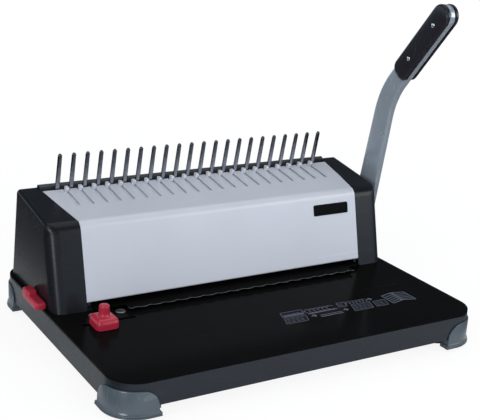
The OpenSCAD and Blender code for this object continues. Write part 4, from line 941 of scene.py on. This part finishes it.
def plate_ring(inset, out):
    """The plate's outline, drawn in by the inset, at a height over the cover."""
    middle_x, middle_rise = (PLATE_LEFT + PLATE_RIGHT) / 2, (PLATE_LOW + PLATE_HIGH) / 2
    ring = []
    for turn, x, rise in ((0, PLATE_RIGHT, PLATE_HIGH), (1, PLATE_LEFT, PLATE_HIGH),
                          (2, PLATE_LEFT, PLATE_LOW), (3, PLATE_RIGHT, PLATE_LOW)):
        heart_x = x - math.copysign(PLATE_CORNER, x - middle_x)
        heart_rise = rise - math.copysign(PLATE_CORNER, rise - middle_rise)
        for i in range(7):
            way = toward(math.pi / 2 * (turn + i / 6)) * max(PLATE_CORNER - inset, 0.02)
            ring.append(on_face(heart_x + way.x, out, heart_rise + way.y))
    return ring


plate_layers = ((0, -0.1), (0, 0.5), (0.15, 0.7), (0.4, 0.8), (1.3, 0.82))
plate = loft([plate_ring(inset, out) for inset, out in plate_layers], sharp=50)
fitted("name_plate", plate, plate_black, body="machine", slot="guide_black")


# ---------- table print ----------
# A strip of small pictures is printed on the table in pale grey over dark patches: sheets, turns of
# the comb, a sheet hung on its rings and the open book, with arrows between.

print_ink = painted("print_ink", srgb(104, 110, 124), 0.5, specular=0.05)
print_shade = painted("print_shade", srgb(24, 24, 31), 0.5, specular=0.02)
PRINT_X, PRINT_Y = -1, 48
ARROW_LONG, BARB_BACK, BARB_SIDE = 5, 2.4, 2.2
INK_LAYER, SHADE_LAYER = (TABLE_TOP + 0.02, TABLE_TOP + 0.08), (TABLE_TOP - 0.02, TABLE_TOP + 0.04)


def printed(points, layer):
    """A flat patch of ink inside points of the strip, in millimetres from its near left corner."""
    return loft([[spot(PRINT_X + x, PRINT_Y + y, z) for x, y in points] for z in layer])


def stroke(points, wide=0.8, shut=False):
    """A printed line through points of the strip."""
    line = [Vector(point) for point in points]
    if shut:
        line.append(line[0])
    bars = []
    for first, second in zip(line, line[1:]):
        along = (second - first).normalized() * wide / 2
        side = Vector((-along.y, along.x))
        corners = [first - along + side, first - along - side, second + along - side, second + along + side]
        bars.append(printed(corners, INK_LAYER))
    return bars


def arc(x, y, radius, start, end):
    """Points of a round stretch about a middle, from one angle in degrees to another."""
    turns = [math.radians(start + (end - start) * i / 10) for i in range(11)]
    return [(x + radius * math.cos(turn), y + radius * math.sin(turn)) for turn in turns]


def slanted(x, y, wide, high, lean):
    """The corners of a leaning oblong from its near left one."""
    return [(x, y), (x + wide, y), (x + wide + lean, y + high), (x + lean, y + high)]


marks, shades = [], []


def page(x, y, wide, high, lean, lines):
    """A sheet in slant with a shaded face, an outline and a few ruled lines."""
    shades.append(printed(slanted(x, y, wide, high, lean), SHADE_LAYER))
    marks.extend(stroke(slanted(x, y, wide, high, lean), 0.5, True))
    for i in range(lines):
        up = (i + 1) / (lines + 1)
        for start in range(2, wide - 4, 5):
            line = [(x + start + lean * up, y + high * up), (x + start + 3.2 + lean * up, y + high * up)]
            marks.extend(stroke(line, 0.5))


def arrow(x, y):
    """An arrow to the right: its shaft and the two barbs at its end."""
    end, back = x + ARROW_LONG, x + ARROW_LONG - BARB_BACK
    marks.extend(stroke([(x, y), (end, y)], 1.1))
    marks.extend(stroke([(back, y + BARB_SIDE), (end, y), (back, y - BARB_SIDE)], 1.0))


# A ruled sheet below the punch and one with its holes punched
page(1, 1.5, 24, 11, 4, 3)
page(5, 15, 24, 10, 3, 1)
for i in range(7):
    marks += stroke([(8 + 3.1 * i, 17.4), (9.6 + 3.1 * i, 17.4)], 1.6)
arrow(33, 8)

# The comb's open rings over its box
for i in range(6):
    marks += stroke(arc(36.5 + 5.0 * i, 18.5, 4.4, 30, 300), 0.9)
shades.append(printed(slanted(40, 2, 25, 8.5, 2), SHADE_LAYER))
marks += stroke([(41, 3.2), (66, 3.2)], 0.9) + stroke([(42, 6.2), (66.5, 6.2)], 0.7)
marks += stroke([(33, 13.2), (66, 13.2)], 1.0)
arrow(70, 8)

# A sheet hung on closing rings, and what comes off the press
page(79, 1.5, 22, 14, 5, 4)
for i in range(6):
    marks += stroke(arc(84 + 3.9 * i, 20.5, 2.7, -70, 210), 0.9)
page(70, 15, 9, 9, 2, 2)
arrow(107, 20)
page(106, 2, 14, 12, 3, 3)

# The open book: two halves about its spine, its rings and its lines
SPINE, BOOK_HALF = 140, 14
for edge in (SPINE - BOOK_HALF, SPINE + BOOK_HALF):
    half_book = [(edge, 2), (SPINE, 5.5), (SPINE, 25), (edge, 21.5)]
    shades.append(printed(half_book, SHADE_LAYER))
    marks += stroke(half_book, 0.8, True)
for i in range(6):
    marks += stroke([(SPINE - 2, 6.5 + 3.2 * i), (SPINE + 2, 6.9 + 3.2 * i)], 1.4)
for i in range(4):
    marks += stroke([(128, 6 + 3.8 * i), (136.5, 8 + 3.8 * i)], 0.7)
    marks += stroke([(143.5, 8 + 3.8 * i), (152, 6 + 3.8 * i)], 0.7)
fitted("table_print", joined(*marks), print_ink, body="machine", slot="table_enamel")
fitted("table_print_shade", joined(*shades), print_shade, body="machine", slot="table_enamel")


# ---------- handle ----------
# A cranked bar of light alloy in grey lacquer, crowned on its faces, is bolted on the shaft's end.
# Two black scales are screwed through it for a grip, each domed and rounded along its edges.

handle_paint = painted("handle_paint", srgb(158, 169, 180), 0.26, metallic=0.4)
grip_plastic = moulded("grip_plastic", srgb(33, 32, 38), 0.22, 0.3)
grip_screw_chrome = steel("grip_screw_chrome", (0.8, 0.8, 0.82), 0.15)
LOW_LEAN, GRIP_LEAN = math.radians(10), math.radians(39.5)
BAR_X, BAR_THICK, BAR_LOW, BAR_HIGH = 191.775, 8, 30, 23.2
BAR_BEND, BAR_BORE_R = 90, 6.04
ELBOW_HIGH, ELBOW_TO_TIP = 140, 118.3
# The points round the bar's section, its squareness, its crown and how soon its round ends thin out
BAR_POINTS, BAR_SQUARE, BAR_CROWN, BAR_THINNING = 48, 8, 0.16, 0.35
low_way = Vector((-math.sin(LOW_LEAN), math.cos(LOW_LEAN)))
high_way = Vector((-math.sin(GRIP_LEAN), math.cos(GRIP_LEAN)))
elbow = Vector((-ELBOW_HIGH * math.tan(LOW_LEAN), ELBOW_HIGH))
tip = elbow + high_way * ELBOW_TO_TIP


def bar_stations():
    """Centre, direction and width of the bar from below the shaft to past its round tip."""
    low_end = elbow - low_way * BAR_BEND * math.tan((GRIP_LEAN - LOW_LEAN) / 2)
    centre = low_end - toward(LOW_LEAN) * BAR_BEND
    width = (BAR_LOW + 2 * BAR_HIGH) / 3
    stations = []
    for i in range(12):
        angle = math.pi / 2 * (1 - (i + 0.2) / 12.2)
        stations.append((-low_way * BAR_LOW / 2 * math.sin(angle), LOW_LEAN, BAR_LOW * math.cos(angle)))
    for i in range(9):
        near = i / 9
        stations.append((low_end * near, LOW_LEAN, BAR_LOW + (width - BAR_LOW) * near))
    for i in range(17):
        near = i / 16
        angle = LOW_LEAN + (GRIP_LEAN - LOW_LEAN) * near
        stations.append((centre + toward(angle) * BAR_BEND, angle, width + (BAR_HIGH - width) * near))
    last = stations[-1][0]
    stations += [(last.lerp(tip, near), GRIP_LEAN, BAR_HIGH) for near in (0.25, 0.5, 0.75, 1)]
    for i in range(1, 13):
        angle = math.pi / 2 * i / 12.2
        place = tip + high_way * BAR_HIGH / 2 * math.sin(angle)
        stations.append((place, GRIP_LEAN, BAR_HIGH * math.cos(angle)))
    return stations


def bar_section(station):
    """A rounded section of the bar, a little fuller in the middle of its faces."""
    centre, angle, width = station
    thickness = BAR_THICK * min(1, (width / BAR_HIGH) ** BAR_THINNING)
    ring = []
    for i in range(BAR_POINTS):
        turn = 2 * math.pi * (i + 0.5) / BAR_POINTS
        c, s = math.cos(turn), math.sin(turn)
        wide = width / 2 * math.copysign(abs(c) ** (2 / BAR_SQUARE), c)
        thick = thickness / 2 * math.copysign(abs(s) ** (2 / BAR_SQUARE), s) * (1 - BAR_CROWN * c * c)
        flat = centre + toward(angle) * wide
        ring.append(spot(BAR_X + BAR_THICK / 2 + thick, SHAFT_Y + flat.x, SHAFT_Z + flat.y))
    return ring


bore_profile = [(0, 0), (BAR_BORE_R, 0), (BAR_BORE_R, 10), (0, 10)]
bore = turned(spot(BAR_X - 1, SHAFT_Y, SHAFT_Z), bore_profile, 48, (1, 0, 0))
bar = carved(loft([bar_section(station) for station in bar_stations()], sharp=60), bore)
fitted("handle_bar_finished", bar, handle_paint, "handle_bar")
refined("handle_bolt", screw_steel, 0.3)

GRIP_WIDE, GRIP_LONG, GRIP_CORNER = 24, 100, 9
# The scale's round edge: where it starts and its radius; the screws' places from the tip
GRIP_EDGE_AT, GRIP_EDGE = 1.5, 2.6
screw_places = [tip - high_way * reach for reach in (12.5, 62)]
cross_way = toward(GRIP_LEAN)


def grip_ring(inset, x):
    """The scale's outline, drawn in by the inset."""
    ring = []
    for i in range(25):
        angle = math.pi * i / 24
        reach = GRIP_WIDE / 2 - inset
        ring.append(tip + cross_way * reach * math.cos(angle) + high_way * reach * math.sin(angle))
    for side in (-1, 1):
        for i in range(9):
            angle = math.pi / 2 * i / 8 + (math.pi if side < 0 else 1.5 * math.pi)
            heart = tip + cross_way * side * (GRIP_WIDE / 2 - GRIP_CORNER)
            heart += high_way * (GRIP_WIDE / 2 - GRIP_LONG + GRIP_CORNER)
            reach = GRIP_CORNER - inset
            ring.append(heart + cross_way * reach * math.cos(angle) + high_way * reach * math.sin(angle))
    return [spot(x, SHAFT_Y + point.x, SHAFT_Z + point.y) for point in ring]


def grip_scale(side):
    """One scale: a rounded edge, a slightly domed face and two sunk screw holes."""
    face = BAR_X if side < 0 else BAR_X + BAR_THICK
    layers = [(0.15, 0.0), (0, 0.15)]
    layers += [(GRIP_EDGE * (1 - math.cos(a)), GRIP_EDGE_AT + GRIP_EDGE * math.sin(a))
               for a in (math.radians(9 * i) for i in range(11))]
    layers += [(4.4, 4.26), (6.4, 4.38), (8.6, 4.45)]
    body = loft([grip_ring(inset, face + side * rise) for inset, rise in layers], sharp=60)
    drills = []
    for place in screw_places:
        centre = spot(face, SHAFT_Y + place.x, SHAFT_Z + place.y)
        drills.append(turned(centre, [(0, 3.1), (2.9, 3.1), (2.9, 6), (0, 6)], 32, (side, 0, 0)))
    mesh = carved(body, *drills)
    mesh.set_sharp_from_angle(angle=math.radians(40))
    return mesh


fitted("grip_outer_finished", grip_scale(1), grip_plastic, "grip_outer")
fitted("grip_inner_finished", grip_scale(-1), grip_plastic, "grip_inner")
head = [(0, 0), (2.6, 0), (2.6, 3.5), (2.45, 3.9), (2.0, 4.2), (1.2, 4.38), (0.7, 4.4), (0.6, 4.0), (0, 4.0)]
studs = []
for place in screw_places:
    for side, face in ((-1, BAR_X), (1, BAR_X + BAR_THICK)):
        studs.append(turned(spot(face, SHAFT_Y + place.x, SHAFT_Z + place.y), head, 24, (side, 0, 0)))
fitted("grip_screws_finished", joined(*studs), grip_screw_chrome, "grip_screws")


# ---------- controls ----------
# The edge guide and the depth knob are moulded in red plastic with soft edges. The guide slides in
# the table's slot on a shoe held up by a steel rail; the knob's link moves the paper stop.

def softened(node, cell, passes):
    """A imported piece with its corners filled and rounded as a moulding's are."""
    remesh = {"mode": "VOXEL", "voxel_size": cell * MM, "use_smooth_shade": True}
    return applied(merged(node), ("REMESH", remesh), ("SMOOTH", {"iterations": passes, "factor": 0.5}))


control_red = moulded("control_red", srgb(162, 36, 56), 0.26, 0.45)
shoe_plastic = moulded("shoe_plastic", srgb(40, 40, 42), 0.5, 0.4)
fitted("edge_guide_finished", softened("edge_guide", 0.45, 8), control_red, "edge_guide")
fitted("depth_knob_finished", softened("depth_knob", 0.45, 6), control_red, "depth_knob")
refined("guide_shoe", shoe_plastic, 0.3)
refined("paper_stop", frame_steel, 0.2)
refined("guide_rail", frame_steel, 0.3)
refined("rail_screws", screw_steel, 0.12)
RAIL_SCREW_Y, RAIL_SCREW_X = 137.7, (-154.875, -127.875)
washer = [(3.3, 0), (4.9, 0), (4.9, 0.25), (4.6, 0.4), (3.6, 0.4), (3.3, 0.2), (3.3, 0)]
washers = [turned(spot(x, RAIL_SCREW_Y, TABLE_TOP), washer, 36) for x in RAIL_SCREW_X]
fitted("rail_washers", joined(*washers), screw_steel, body="machine", slot="screw_steel")


# ---------- chip drawer ----------
# A shallow drawer for the punched chips, moulded in black plastic. It slides in the base below the
# table and is pulled out to the rear by the notch in its face.

drawer_plastic = moulded("drawer_plastic", srgb(34, 35, 38), 0.42, 0.4)
refined("chip_drawer", drawer_plastic, 0.5)
